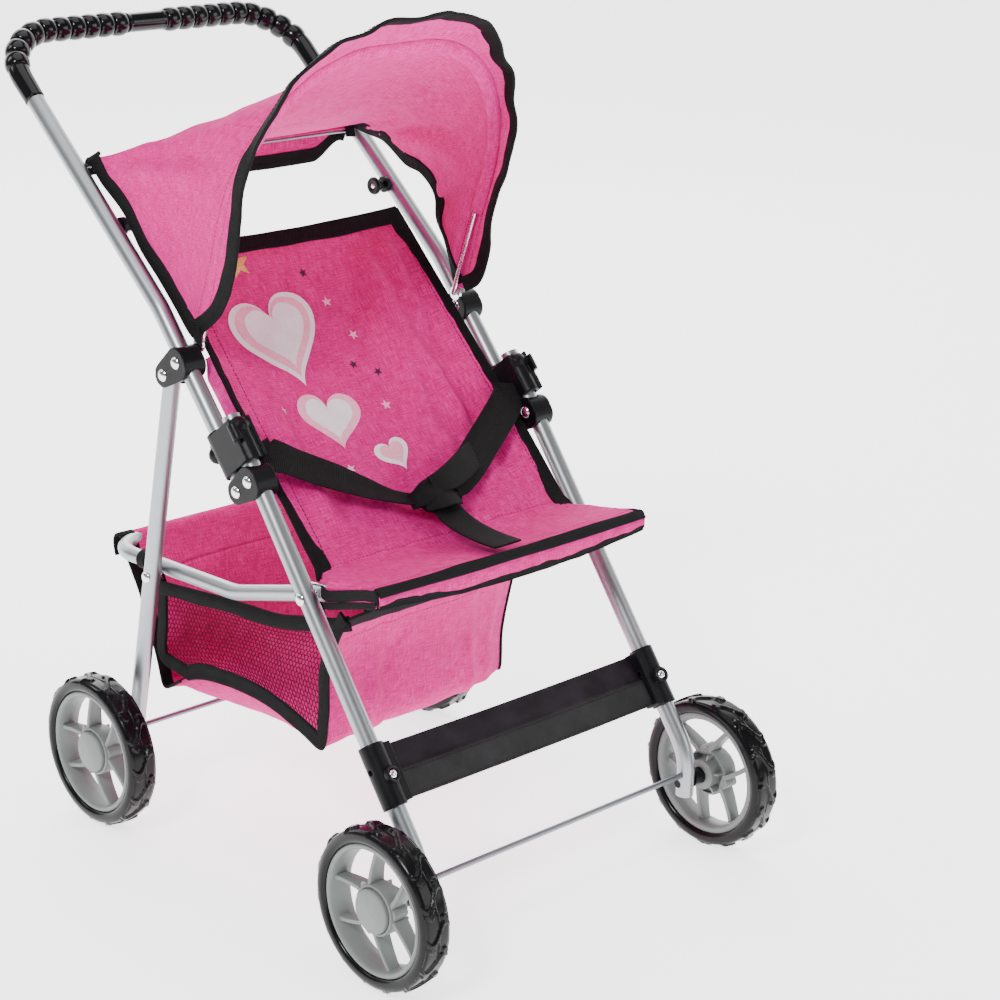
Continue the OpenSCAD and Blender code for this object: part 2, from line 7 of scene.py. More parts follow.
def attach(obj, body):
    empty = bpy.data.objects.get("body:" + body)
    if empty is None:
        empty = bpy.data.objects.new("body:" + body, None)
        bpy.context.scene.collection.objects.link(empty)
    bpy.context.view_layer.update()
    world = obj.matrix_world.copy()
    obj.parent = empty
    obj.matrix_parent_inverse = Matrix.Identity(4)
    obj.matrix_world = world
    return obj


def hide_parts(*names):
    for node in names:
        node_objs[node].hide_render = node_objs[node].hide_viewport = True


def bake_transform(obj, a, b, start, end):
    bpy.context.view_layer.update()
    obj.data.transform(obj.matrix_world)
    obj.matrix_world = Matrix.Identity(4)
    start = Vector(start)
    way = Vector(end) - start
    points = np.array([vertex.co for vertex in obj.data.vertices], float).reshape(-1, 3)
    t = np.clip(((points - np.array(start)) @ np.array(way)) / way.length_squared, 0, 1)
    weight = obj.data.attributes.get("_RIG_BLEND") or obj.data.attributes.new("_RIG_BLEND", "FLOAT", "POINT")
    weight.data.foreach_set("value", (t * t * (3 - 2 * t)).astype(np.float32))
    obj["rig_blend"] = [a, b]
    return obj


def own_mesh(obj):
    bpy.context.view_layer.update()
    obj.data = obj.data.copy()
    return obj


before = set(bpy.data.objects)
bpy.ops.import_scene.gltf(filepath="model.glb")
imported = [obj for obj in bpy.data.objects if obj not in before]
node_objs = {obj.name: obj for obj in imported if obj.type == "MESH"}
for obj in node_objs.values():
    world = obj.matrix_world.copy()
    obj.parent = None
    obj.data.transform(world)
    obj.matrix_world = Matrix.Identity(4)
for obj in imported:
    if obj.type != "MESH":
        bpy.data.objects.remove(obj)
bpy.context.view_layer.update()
K = 0.001
NEAR, FAR = -1.0, 1.0

# ------------------------------------------------------------------ camera, light, floor
cam_data = bpy.data.cameras.new("camera")
cam_data.lens, cam_data.sensor_width = 87.78, 36.0
cam_data.clip_start, cam_data.clip_end = 0.05, 30.0
cam = bpy.data.objects.new("camera", cam_data)
bpy.context.scene.collection.objects.link(cam)
right = Vector((0.72309358, -0.69000897, 0.03198906))
down = Vector((-0.20492392, -0.25851479, -0.94402134))
fwd = Vector((0.65965284, 0.67606044, -0.32832973))
rot = Matrix((right, -down, -fwd)).transposed()
cam.matrix_world = Matrix.Translation((-1.061856, -1.227393, 0.803312)) @ rot.to_4x4()
bpy.context.scene.camera = cam


def area_light(name, loc, target, size, power, size_y=None, color=(1, 1, 1)):
    d = bpy.data.lights.new(name, "AREA")
    d.shape, d.size, d.size_y = "RECTANGLE", size, size_y or size
    d.energy, d.color = power, color
    o = bpy.data.objects.new(name, d)
    bpy.context.scene.collection.objects.link(o)
    o.location = loc
    o.rotation_euler = (Vector(target) - Vector(loc)).to_track_quat("-Z", "Y").to_euler()
    return o


area_light("key", (-1.7, -0.7, 1.9), (0, 0, 0.30), 0.5, 44, 0.5)
area_light("front_fill", (0.9, -1.9, 1.0), (0, 0, 0.3), 1.2, 16, 1.0)
area_light("rim_back", (1.1, 1.5, 1.5), (0, 0, 0.35), 1.3, 20, 1.0)
area_light("top", (0.0, 0.1, 2.2), (0, 0, 0.2), 1.8, 22, 1.8)
area_light("left_strip", (-1.2, 1.3, 1.6), (0, 0, 0.35), 0.4, 9, 1.0)

world = bpy.data.worlds.new("studio")
bpy.context.scene.world = world
world.use_nodes = True
world.node_tree.nodes["Background"].inputs[0].default_value = (1.0, 1.0, 1.0, 1)
world.node_tree.nodes["Background"].inputs[1].default_value = 0.30


# ------------------------------------------------------------------ materials
def new_mat(name):
    m = bpy.data.materials.new(name)
    m.use_nodes = True
    t = m.node_tree
    t.nodes.clear()
    out = t.nodes.new("ShaderNodeOutputMaterial")
    b = t.nodes.new("ShaderNodeBsdfPrincipled")
    t.links.new(b.outputs[0], out.inputs[0])
    return m, t, b


def add(t, kind, **kw):
    n = t.nodes.new(kind)
    for k, v in kw.items():
        if hasattr(n, k):
            setattr(n, k, v)
        else:
            n.inputs[k.replace("_", " ")].default_value = v
    return n


def link(t, a, b):
    t.links.new(a, b)


def uv_vec(t, sx, sy, rotz=0.0):
    u = t.nodes.new("ShaderNodeUVMap"); u.uv_map = "UVMap"
    m = t.nodes.new("ShaderNodeMapping")
    m.inputs["Scale"].default_value = (sx, sy, 1)
    m.inputs["Rotation"].default_value = (0, 0, rotz)
    link(t, u.outputs[0], m.inputs[0])
    return m.outputs[0]


def obj_vec(t, s=1.0):
    u = t.nodes.new("ShaderNodeTexCoord")
    m = t.nodes.new("ShaderNodeMapping")
    m.inputs["Scale"].default_value = (s, s, s) if not isinstance(s, tuple) else s
    link(t, u.outputs["Object"], m.inputs[0])
    return m.outputs[0]


def noise_tex(t, vec, scale, detail=2.0, rough=0.5):
    n = t.nodes.new("ShaderNodeTexNoise")
    n.inputs["Scale"].default_value = scale
    n.inputs["Detail"].default_value = detail
    n.inputs["Roughness"].default_value = rough
    link(t, vec, n.inputs["Vector"])
    return n.outputs[0]


def math_node(t, op, a, b=None, clamp=False):
    n = t.nodes.new("ShaderNodeMath"); n.operation = op; n.use_clamp = clamp
    for i, x in enumerate([a, b]):
        if x is None:
            continue
        if isinstance(x, (int, float)):
            n.inputs[i].default_value = x
        else:
            link(t, x, n.inputs[i])
    return n.outputs[0]


def ramp(t, fac, stops):
    n = t.nodes.new("ShaderNodeValToRGB")
    e = n.color_ramp.elements
    while len(e) < len(stops):
        e.new(0.5)
    for i, (p, c) in enumerate(stops):
        e[i].position = p
        e[i].color = (c[0], c[1], c[2], 1) if hasattr(c, "__len__") else (c, c, c, 1)
    link(t, fac, n.inputs[0])
    return n.outputs[0]


def bump(t, b, height, strength, dist):
    n = t.nodes.new("ShaderNodeBump")
    n.inputs["Strength"].default_value = strength
    n.inputs["Distance"].default_value = dist
    link(t, height, n.inputs["Height"])
    link(t, n.outputs[0], b.inputs["Normal"])
    return n


def wave(t, vec, scale, distortion=0.0, direction="X"):
    n = t.nodes.new("ShaderNodeTexWave")
    n.wave_type, n.bands_direction, n.wave_profile = "BANDS", direction, "SIN"
    n.inputs["Scale"].default_value = scale
    n.inputs["Distortion"].default_value = distortion
    link(t, vec, n.inputs["Vector"])
    return n.outputs[1]


def metal(name, col, rough, grain=0.05, scale=900.0, vary=0.06):
    m, t, b = new_mat(name)
    b.inputs["Metallic"].default_value = 1.0
    v = obj_vec(t)
    n = noise_tex(t, v, scale, 2.0)
    n2 = noise_tex(t, v, 14.0, 3.0)
    link(t, ramp(t, n2, [(0.3, [c * 0.93 for c in col]), (0.7, [min(1, c * 1.04) for c in col])]), b.inputs["Base Color"])
    mix = math_node(t, "ADD", math_node(t, "MULTIPLY", n, 0.5), math_node(t, "MULTIPLY", n2, 0.5))
    link(t, ramp(t, mix, [(0.3, max(0.02, rough - vary)), (0.7, rough + vary)]), b.inputs["Roughness"])
    bump(t, b, n, grain, 0.0001)
    return m


def plastic(name, col, rough, grain=0.08, scale=1400.0, vary=0.05, spec=0.5, coat=0.0, wear=0.25):
    m, t, b = new_mat(name)
    v = obj_vec(t)
    n = noise_tex(t, v, scale, 2.0)
    n2 = noise_tex(t, v, 22.0, 4.0, 0.6)
    geo = t.nodes.new("ShaderNodeNewGeometry")
    edge = ramp(t, geo.outputs["Pointiness"], [(0.5, 0.0), (0.62, 1.0)])
    basec = ramp(t, n2, [(0.3, [c * 0.88 for c in col]), (0.7, [min(1, c * 1.12) for c in col])])
    mixn = t.nodes.new("ShaderNodeMix"); mixn.data_type = "RGBA"
    link(t, math_node(t, "MULTIPLY", edge, wear), mixn.inputs[0])
    link(t, basec, mixn.inputs[6])
    mixn.inputs[7].default_value = tuple(min(1, c * 2.2 + 0.02) for c in col) + (1,)
    link(t, mixn.outputs[2], b.inputs["Base Color"])
    link(t, ramp(t, n2, [(0.3, max(0.03, rough - vary)), (0.7, rough + vary)]), b.inputs["Roughness"])
    b.inputs["Specular IOR Level"].default_value = spec
    b.inputs["Coat Weight"].default_value = coat
    b.inputs["Coat Roughness"].default_value = 0.08
    bump(t, b, n, grain, 0.0002)
    return m


def cloth_mat(name, dark, mid, light, pitch=0.9e-3, rough=0.88, bump_s=0.55, sheen=0.35):
    m, t, b = new_mat(name)
    warp = noise_tex(t, uv_vec(t, 1500, 110), 1.0, 3.0, 0.6)
    weft = noise_tex(t, uv_vec(t, 110, 1500), 1.0, 3.0, 0.6)
    blotch = noise_tex(t, uv_vec(t, 60, 60), 1.0, 3.0, 0.6)
    both = math_node(t, "ADD", math_node(t, "MULTIPLY", warp, 0.5), math_node(t, "MULTIPLY", weft, 0.5))
    both = math_node(t, "ADD", both, math_node(t, "MULTIPLY", math_node(t, "SUBTRACT", blotch, 0.5), 0.14))
    s = 0.314 / pitch
    a = wave(t, uv_vec(t, 1, 1), s, 0.0, "X")
    c = wave(t, uv_vec(t, 1, 1), s, 0.0, "Y")
    thread = math_node(t, "MAXIMUM", a, c)
    tone = math_node(t, "ADD", both, math_node(t, "MULTIPLY", math_node(t, "SUBTRACT", thread, 0.6), 0.10))
    link(t, ramp(t, tone, [(0.36, dark), (0.5, mid), (0.64, light)]), b.inputs["Base Color"])
    b.inputs["Roughness"].default_value = rough
    b.inputs["Sheen Weight"].default_value = sheen
    b.inputs["Sheen Roughness"].default_value = 0.45
    b.inputs["Sheen Tint"].default_value = (1.0, 0.30, 0.60, 1)
    b.inputs["Specular IOR Level"].default_value = 0.2
    h = math_node(t, "ADD", math_node(t, "MULTIPLY", thread, 0.5), both)
    bump(t, b, h, bump_s, 0.0004)
    return m


def webbing_mat(name, base, pitch, light, rough=0.8, diag=0.0):
    m, t, b = new_mat(name)
    s = 0.314 / pitch
    rib = wave(t, uv_vec(t, 1, 1, diag), s, 0.6, "X")
    fine = wave(t, uv_vec(t, 1, 1), s * 0.8, 0.0, "Y")
    n = noise_tex(t, uv_vec(t, 900, 900), 1.0, 3.0)
    h = math_node(t, "ADD", math_node(t, "MULTIPLY", rib, 0.6), math_node(t, "MULTIPLY", fine, 0.3))
    h = math_node(t, "ADD", h, math_node(t, "MULTIPLY", n, 0.3))
    link(t, ramp(t, h, [(0.25, [c * 0.5 for c in base]), (0.6, base), (0.95, light)]), b.inputs["Base Color"])
    b.inputs["Roughness"].default_value = rough
    b.inputs["Sheen Weight"].default_value = 0.0
    b.inputs["Sheen Roughness"].default_value = 0.5
    b.inputs["Specular IOR Level"].default_value = 0.10
    bump(t, b, h, 0.7, 0.0006)
    return m


ALU = metal("satin_tube", (0.33, 0.345, 0.36), 0.37, 0.0, 700.0, 0.012)
ROD = metal("rod_steel", (0.20, 0.21, 0.225), 0.36, 0.0, 700.0, 0.012)
STEEL = metal("bright_steel", (0.78, 0.79, 0.80), 0.16, 0.03, 500.0)
BLACK = plastic("black_plastic", (0.005, 0.005, 0.006), 0.34, 0.08, 1500.0, 0.06, 0.13, wear=0.06)
GRIP = plastic("grip_black", (0.003, 0.003, 0.004), 0.13, 0.02, 600.0, 0.03, 0.28, wear=0.05)
TYRE = plastic("tyre_black", (0.0035, 0.0035, 0.0042), 0.22, 0.04, 500.0, 0.05, 0.17, wear=0.04)
RIM = plastic("rim_grey", (0.155, 0.168, 0.165), 0.45, 0.06, 1800.0, 0.05, 0.3, 0.0, 0.10)
PINK = cloth_mat("pink_weave", (0.40, 0.0008, 0.105), (0.60, 0.003, 0.185), (0.76, 0.035, 0.31), sheen=0.06)
# painted backlight: a lighter, redder copy of the pink weave that stands in for light shining through the cloth, used
# on inner and turned-back faces
PINK_BACKLIT = cloth_mat("pink_weave_painted_backlight", (0.46, 0.002, 0.14), (0.68, 0.012, 0.24), (0.82, 0.07, 0.38), bump_s=0.45, sheen=0.08)
BIND = webbing_mat("black_binding", (0.0055, 0.0055, 0.006), 1.1e-3, (0.016, 0.016, 0.017), 0.8, 0.5)
WEB = webbing_mat("black_webbing", (0.005, 0.005, 0.0055), 1.3e-3, (0.017, 0.017, 0.018), 0.7)
NET = webbing_mat("black_net", (0.010, 0.010, 0.012), 0.5e-3, (0.03, 0.03, 0.035), 0.7)
THREAD = webbing_mat("pink_thread", (0.34, 0.002, 0.075), 0.4e-3, (0.50, 0.008, 0.12), 0.8)
BTHREAD = webbing_mat("black_thread", (0.008, 0.008, 0.009), 0.4e-3, (0.022, 0.022, 0.024), 0.7)


def leather(name, base, rough, scale, strength):
    m, t, b = new_mat(name)
    v = obj_vec(t)
    vor = t.nodes.new("ShaderNodeTexVoronoi"); vor.feature = "F1"
    vor.inputs["Scale"].default_value = scale
    link(t, v, vor.inputs["Vector"])
    n = noise_tex(t, v, 60.0, 4.0, 0.6)
    h = math_node(t, "ADD", vor.outputs[0], math_node(t, "MULTIPLY", n, 0.6))
    link(t, ramp(t, n, [(0.3, [c * 0.7 for c in base]), (0.75, [c * 1.5 for c in base])]), b.inputs["Base Color"])
    link(t, ramp(t, n, [(0.3, rough - 0.08), (0.7, rough + 0.08)]), b.inputs["Roughness"])
    b.inputs["Specular IOR Level"].default_value = 0.2
    bump(t, b, h, strength, 0.0004)
    return m


# the band's top face: its smooth finish is the band's own, its darker purple-black colour is painted shade for the
# shadow on that face
BAND_TOP_SHADED = leather("band_smooth_painted_shade", (0.009, 0.006, 0.0095), 0.40, 900.0, 0.08)
BAND_LOW = leather("band_grain", (0.013, 0.013, 0.014), 0.60, 1100.0, 0.45)
PRINT_W = cloth_mat("print_white", (0.74, 0.68, 0.70), (0.82, 0.76, 0.78), (0.90, 0.85, 0.87), sheen=0.1, bump_s=0.35)
PRINT_P = cloth_mat("print_pale", (0.80, 0.28, 0.42), (0.86, 0.36, 0.50), (0.92, 0.48, 0.60), sheen=0.1, bump_s=0.35)
PRINT_D = cloth_mat("print_dark", (0.03, 0.015, 0.025), (0.05, 0.02, 0.035), (0.08, 0.03, 0.05), sheen=0.0, bump_s=0.35)
PRINT_G = cloth_mat("print_gold", (0.45, 0.24, 0.05), (0.62, 0.36, 0.10), (0.80, 0.52, 0.20), sheen=0.1, bump_s=0.35)

# the floor runs up into a backdrop; neither is part of the object
def floor():
    m, t, b = new_mat("paper")
    n = noise_tex(t, obj_vec(t), 3.0, 2.0)
    link(t, ramp(t, n, [(0.3, (0.94, 0.94, 0.94)), (0.7, (0.96, 0.96, 0.96))]), b.inputs["Base Color"])
    b.inputs["Emission Color"].default_value = (1, 1, 1, 1)
    b.inputs["Emission Strength"].default_value = 2.1
    b.inputs["Roughness"].default_value = 0.9
    b.inputs["Specular IOR Level"].default_value = 0.1
    me = bpy.data.meshes.new("floor")
    prof = [(-4.0, 0.0), (2.2, 0.0)]
    for i in range(1, 13):
        a = i / 12 * math.pi / 2
        prof.append((2.2 + 0.9 * math.sin(a), 0.9 * (1 - math.cos(a))))
    prof.append((3.1, 4.5))
    d = Vector((0.7, 0.714, 0)).normalized(); s = Vector((d.y, -d.x, 0))
    vs, fs = [], []
    for p, z in prof:
        for w in (-6.0, 6.0):
            q = d * p + s * w
            vs.append((q.x, q.y, z))
    for i in range(len(prof) - 1):
        fs.append((2 * i, 2 * i + 1, 2 * i + 3, 2 * i + 2))
    me.from_pydata(vs, [], fs)
    me.materials.append(m)
    me.polygons.foreach_set("use_smooth", [True] * len(me.polygons))
    o = bpy.data.objects.new("floor", me)
    bpy.context.scene.collection.objects.link(o)


floor()

# ------------------------------------------------------------------ stations in the side plane, y and z
tube_x, tr = 126.0, 6.25
front_axle, rear_axle = np.array([-204.8, 55.0]), np.array([100.3, 55.0])
pivA, rivA = np.array([49.3, 340.4]), np.array([34.95, 352.1])
rivB, pivB = np.array([-41.7, 289.3]), np.array([-29.6, 279.2])
pivC, rivD = np.array([-93.2, 222.7]), np.array([75.7, 187.3])
screwF, stud = np.array([-167.1, 127.3]), np.array([115.7, 427.7])
kink, top = np.array([62.3, 383.0]), np.array([251.3, 539.5])
rod, bow0 = np.array([154.3, 462.4]), np.array([33.3, 362.0])


def unit(v):
    v = np.asarray(v, float)
    return v / max(1e-12, np.linalg.norm(v))


lowd, upd, legd = unit(rivB - screwF), unit(kink - pivB), unit(top - kink)


def P(x, p):
    return np.array([x, p[0], p[1]], float)


def smooth01(t):
    t = np.clip(t, 0, 1)
    return t * t * (3 - 2 * t)


# ------------------------------------------------------------------ mesh building
class Build:
    """Collects parts of one piece: points in millimetres, faces, materials, UVs in metres and joint weights."""

    def __init__(self):
        self.v, self.f, self.m, self.uv, self.w = [], [], [], [], []
        self.n = 0

    def add(self, v, f, mat=0, uv=None, w=None):
        v = np.asarray(v, float)
        self.v.append(v)
        self.f += [tuple(int(i) + self.n for i in q) for q in f]
        self.m += [mat] * len(f) if np.isscalar(mat) else list(mat)
        self.uv.append(np.asarray(uv, float) if uv is not None else v[:, [0, 2]] * K)
        self.w.append(np.full(len(v), 0.0) if w is None else np.broadcast_to(np.asarray(w, float), (len(v),)))
        self.n += len(v)

    def obj(self, name, mats, smooth=True, sharp=None):
        v = np.concatenate(self.v) * K
        me = bpy.data.meshes.new(name)
        me.from_pydata([tuple(p) for p in v], [], self.f)
        for m in mats:
            me.materials.append(m)
        me.polygons.foreach_set("material_index", self.m)
        me.polygons.foreach_set("use_smooth", [smooth] * len(me.polygons))
        lay = me.uv_layers.new(name="UVMap")
        li = np.zeros(len(me.loops), np.int32)
        me.loops.foreach_get("vertex_index", li)
        lay.data.foreach_set("uv", np.concatenate(self.uv)[li].astype(np.float32).ravel())
        me.update()
        bm = bmesh.new(); bm.from_mesh(me)
        bmesh.ops.recalc_face_normals(bm, faces=bm.faces)
        bm.to_mesh(me); bm.free()
        if sharp:
            me.set_sharp_from_angle(angle=math.radians(sharp))
        o = bpy.data.objects.new(name, me)
        bpy.context.scene.collection.objects.link(o)
        return o

    def weights(self):
        return np.concatenate(self.w)


def catmull(pts, n, closed=False):
    """n points, evenly spaced along a smooth curve through pts."""
    p = np.asarray(pts, float)
    if closed:
        q = np.vstack([p[-1], p, p[0], p[1]])
    else:
        q = np.vstack([2 * p[0] - p[1], p, 2 * p[-1] - p[-2]])
    out = []
    for i in range(1, len(q) - 2):
        a, b, c, d = q[i - 1], q[i], q[i + 1], q[i + 2]
        t1 = max(1e-6, np.linalg.norm(b - a) ** 0.5); t2 = max(1e-6, np.linalg.norm(c - b) ** 0.5); t3 = max(1e-6, np.linalg.norm(d - c) ** 0.5)
        m1 = (c - b) / t2 * 1.0
        v1 = ((b - a) / t1 - (c - a) / (t1 + t2) + (c - b) / t2) * t2
        v2 = ((c - b) / t2 - (d - b) / (t2 + t3) + (d - c) / t3) * t2
        for s in np.linspace(0, 1, 16, endpoint=False):
            out.append((2 * s**3 - 3 * s**2 + 1) * b + (s**3 - 2 * s**2 + s) * v1 + (-2 * s**3 + 3 * s**2) * c + (s**3 - s**2) * v2)
    out.append(q[-2])
    out = np.array(out)
    return resample(out, n)


def resample(p, n):
    d = np.concatenate([[0], np.cumsum(np.linalg.norm(np.diff(p, axis=0), axis=1))])
    s = np.linspace(0, d[-1], n)
    return np.stack([np.interp(s, d, p[:, k]) for k in range(p.shape[1])], 1)


def length(p):
    return float(np.linalg.norm(np.diff(p, axis=0), axis=1).sum())


def tangents(p, closed=False):
    t = (np.roll(p, -1, 0) - np.roll(p, 1, 0)) if closed else np.gradient(p, axis=0)
    return t / np.maximum(1e-9, np.linalg.norm(t, axis=1))[:, None]


def carry(p, up, closed=False):
    """Frames carried along a path: (side, up) at each point."""
    t = tangents(p, closed)
    u = np.zeros_like(p)
    c = np.asarray(up, float)
    for i in range(len(p)):
        c = c - (c @ t[i]) * t[i]
        c = c / max(1e-9, np.linalg.norm(c))
        u[i] = c
    return np.cross(t, u), u


def sweep(b, path, prof, side, up, mat=0, caps=True, closed=False, w=None, scale=None, u0=0.0):
    """Sweeps a closed profile (a, b) along a path, with a along side and b along up. prof may be one profile or one per point."""
    path = np.asarray(path, float); n = len(path)
    prof = np.asarray(prof, float)
    if prof.ndim == 2:
        prof = np.broadcast_to(prof, (n,) + prof.shape)
    m = prof.shape[1]
    v = path[:, None, :] + prof[:, :, :1] * side[:, None, :] + prof[:, :, 1:2] * up[:, None, :]
    if scale is not None:
        v = path[:, None, :] + (v - path[:, None, :]) * np.asarray(scale)[:, None, None]
    s = np.concatenate([[0], np.cumsum(np.linalg.norm(np.diff(path, axis=0), axis=1))])
    pr = np.concatenate([[0], np.cumsum(np.linalg.norm(np.diff(prof[n // 2], axis=0), axis=1))])
    uv = np.stack([np.broadcast_to((s[:, None] + u0) * K, (n, m)), np.broadcast_to(pr[None, :] * K, (n, m))], -1)
    f = []
    for i in range(n - 1 if not closed else n):
        j = (i + 1) % n
        for k in range(m):
            q = (k + 1) % m
            f.append((i * m + k, i * m + q, j * m + q, j * m + k))
    if caps and not closed:
        f.append(tuple(range(m - 1, -1, -1)))
        f.append(tuple((n - 1) * m + k for k in range(m)))
    ww = None if w is None else np.repeat(np.asarray(w, float), m) if np.ndim(w) else w
    b.add(v.reshape(-1, 3), f, mat, uv.reshape(-1, 2), ww)


def circle(r, m=24):
    a = np.arange(m) / m * 2 * np.pi
    return np.stack([r * np.cos(a), -r * np.sin(a)], 1)


def flat_prof(w, t, m=4):
    """A flat strap's section: w wide along a, t thick, with round edges."""
    r = t / 2
    out = []
    for sgn, base in ((1, -np.pi / 2), (-1, np.pi / 2)):
        for i in range(m + 1):
            a = base + np.pi * i / m
            out.append((sgn * (w / 2 - r) + r * np.cos(a), r * np.sin(a)))
        mid = [(sgn * (w / 2 - r) * f, sgn * r) for f in (0.5, 0.0, -0.5)]
        out += mid
    return np.array(out)[::-1]


def lathe(b, prof, m=64, mat=0, a0=0.0, a1=2 * np.pi, origin=(0, 0, 0), closed_prof=True, rfun=None, uvs=1.0):
    """Turns a profile (radius, x) about the X axis."""
    prof = np.asarray(prof, float); k = len(prof)
    ang = np.arange(m) / m * 2 * np.pi
    R, X = prof[:, 0], prof[:, 1]
    Rg = np.broadcast_to(R, (m, k)).copy(); Xg = np.broadcast_to(X, (m, k)).copy()
    if rfun is not None:
        Rg, Xg = rfun(ang[:, None], Rg, Xg)
    v = np.stack([Xg, -Rg * np.sin(ang)[:, None], Rg * np.cos(ang)[:, None]], -1) + np.asarray(origin, float)
    s = np.concatenate([[0], np.cumsum(np.linalg.norm(np.diff(prof, axis=0), axis=1))])
    uv = np.stack([np.broadcast_to(ang[:, None] * 0.045, (m, k)), np.broadcast_to(s[None] * K, (m, k))], -1)
    f = []
    for i in range(m):
        j = (i + 1) % m
        for q in range(k if closed_prof else k - 1):
            r = (q + 1) % k
            f.append((i * k + q, i * k + r, j * k + r, j * k + q))
    b.add(v.reshape(-1, 3), f, mat, uv.reshape(-1, 2))


def shell(b, G, th, mat_out=0, mat_in=None, uv=None, w=None, flip=False, edge_mat=None):
    """A cloth layer: grid G of points (rows, columns) is its middle; th is its thickness."""
    G = np.asarray(G, float); nr, nc = G.shape[:2]
    du, dv = np.gradient(G, axis=0), np.gradient(G, axis=1)
    N = np.cross(du, dv); N /= np.maximum(1e-9, np.linalg.norm(N, axis=2))[..., None]
    if flip:
        N = -N
    A, B = G + N * th / 2, G - N * th / 2
    if uv is None:
        a = np.concatenate([[0], np.cumsum(np.linalg.norm(np.diff(G[:, nc // 2], axis=0), axis=1))]) * K
        c = np.concatenate([[0], np.cumsum(np.linalg.norm(np.diff(G[nr // 2], axis=0), axis=1))]) * K
        uv = np.stack(np.meshgrid(c, a), -1)
    n = nr * nc
    v = np.concatenate([A.reshape(-1, 3), B.reshape(-1, 3)])
    f, mats = [], []
    mat_in = mat_out if mat_in is None else mat_in
    idx = np.arange(n).reshape(nr, nc)
    for i in range(nr - 1):
        for j in range(nc - 1):
            q = (idx[i, j], idx[i + 1, j], idx[i + 1, j + 1], idx[i, j + 1])
            f.append(q if not flip else q[::-1]); mats.append(mat_out)
            q2 = tuple(x + n for x in q[::-1])
            f.append(q2 if not flip else q2[::-1]); mats.append(mat_in)
    rim = list(idx[:, 0]) + list(idx[-1, 1:]) + list(idx[-2::-1, -1]) + list(idx[0, -2:0:-1])
    for i in range(len(rim)):
        a, c = rim[i], rim[(i + 1) % len(rim)]
        q = (a, a + n, c + n, c)
        f.append(q if not flip else q[::-1]); mats.append(mat_out)
    ww = None if w is None else np.concatenate([np.asarray(w).ravel()] * 2)
    b.add(v, f, mats, np.concatenate([uv.reshape(-1, 2)] * 2), ww)
    return N


def binding(b, edge, inward, normal, width=9.0, t=1.5, over=0.8, mat=0, w=None, closed=False, wave_amp=0.25, seed=1.0):
    """Edge tape folded over a cloth edge. inward and normal are directions at each point of edge."""
    e = np.asarray(edge, float)
    prof = []
    m = 5
    for i in range(m + 1):
        a = np.pi / 2 + np.pi * i / m
        prof.append((-over * 1.0 + (t + 0.1) * 0.9 * np.cos(a) + 0.3, t * np.sin(a)))
    inner = [(width * 0.35, -t * 0.96), (width * 0.7, -t * 0.93), (width - 0.25, -t * 0.9), (width, -t * 0.55), (width, t * 0.55), (width - 0.25, t * 0.9), (width * 0.7, t * 0.93), (width * 0.35, t * 0.96)]
    prof = np.array(prof + inner)
    n = len(e)
    s = np.concatenate([[0], np.cumsum(np.linalg.norm(np.diff(e, axis=0), axis=1))])
    pr = np.broadcast_to(prof, (n,) + prof.shape).copy()
    jit = np.array([noise.noise(Vector((x * 0.035, seed * 7.3, 0))) for x in s])
    pr[:, :, 0] *= (1 + 0.10 * jit)[:, None]
    lift = np.array([noise.noise(Vector((x * 0.09, seed * 3.1, 4.0))) for x in s]) * wave_amp
    sweep(b, e + np.asarray(normal) * lift[:, None], pr, np.asarray(inward, float), np.asarray(normal, float), mat, True, closed, w)


def stitches(b, path, up, side, mat=0, pitch=3.6, ln=2.4, r=0.28, w=None, lift=0.0):
    """A row of thread stitches along a path, each a small rounded bar."""
    L = length(path); n = max(2, int(L / pitch))
    d = np.concatenate([[0], np.cumsum(np.linalg.norm(np.diff(path, axis=0), axis=1))])
    t = tangents(path)
    mids = (np.arange(n) + 0.5) / n * L
    def at(a, s):
        return np.stack([np.interp(s, d, a[:, k]) for k in range(3)], -1)
    prof = [(-0.5, 0.35), (-0.32, 0.9), (0.32, 0.9), (0.5, 0.35)]
    for c in mids:
        p, tt, uu = at(path, c), unit(at(t, c)), unit(at(up, c))
        ss = np.cross(tt, uu)
        v, f = [], []
        for x, sc in prof:
            for a in range(5):
                an = a / 5 * 2 * np.pi
                v.append(p + tt * x * ln + (ss * np.cos(an) + uu * np.sin(an)) * r * sc + uu * lift)
        for i in range(3):
            for a in range(5):
                q = (a + 1) % 5
                f.append((i * 5 + a, i * 5 + q, i * 5 + 5 + q, i * 5 + 5 + a))
        f.append(tuple(range(4, -1, -1))); f.append(tuple(range(15, 20)))
        b.add(v, f, mat, None, None if w is None else float(np.interp(c, d, w)))


def fbm(x, y, z=0.0, o=3):
    s, a = 0.0, 1.0
    for i in range(o):
        s += a * noise.noise(Vector((x, y, z + 11.7 * i)))
        x, y, a = x * 2.03, y * 2.03, a * 0.5
    return s


def put(o, body, replaces=()):
    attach(o, body)
    if replaces:
        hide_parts(*replaces)
    return o


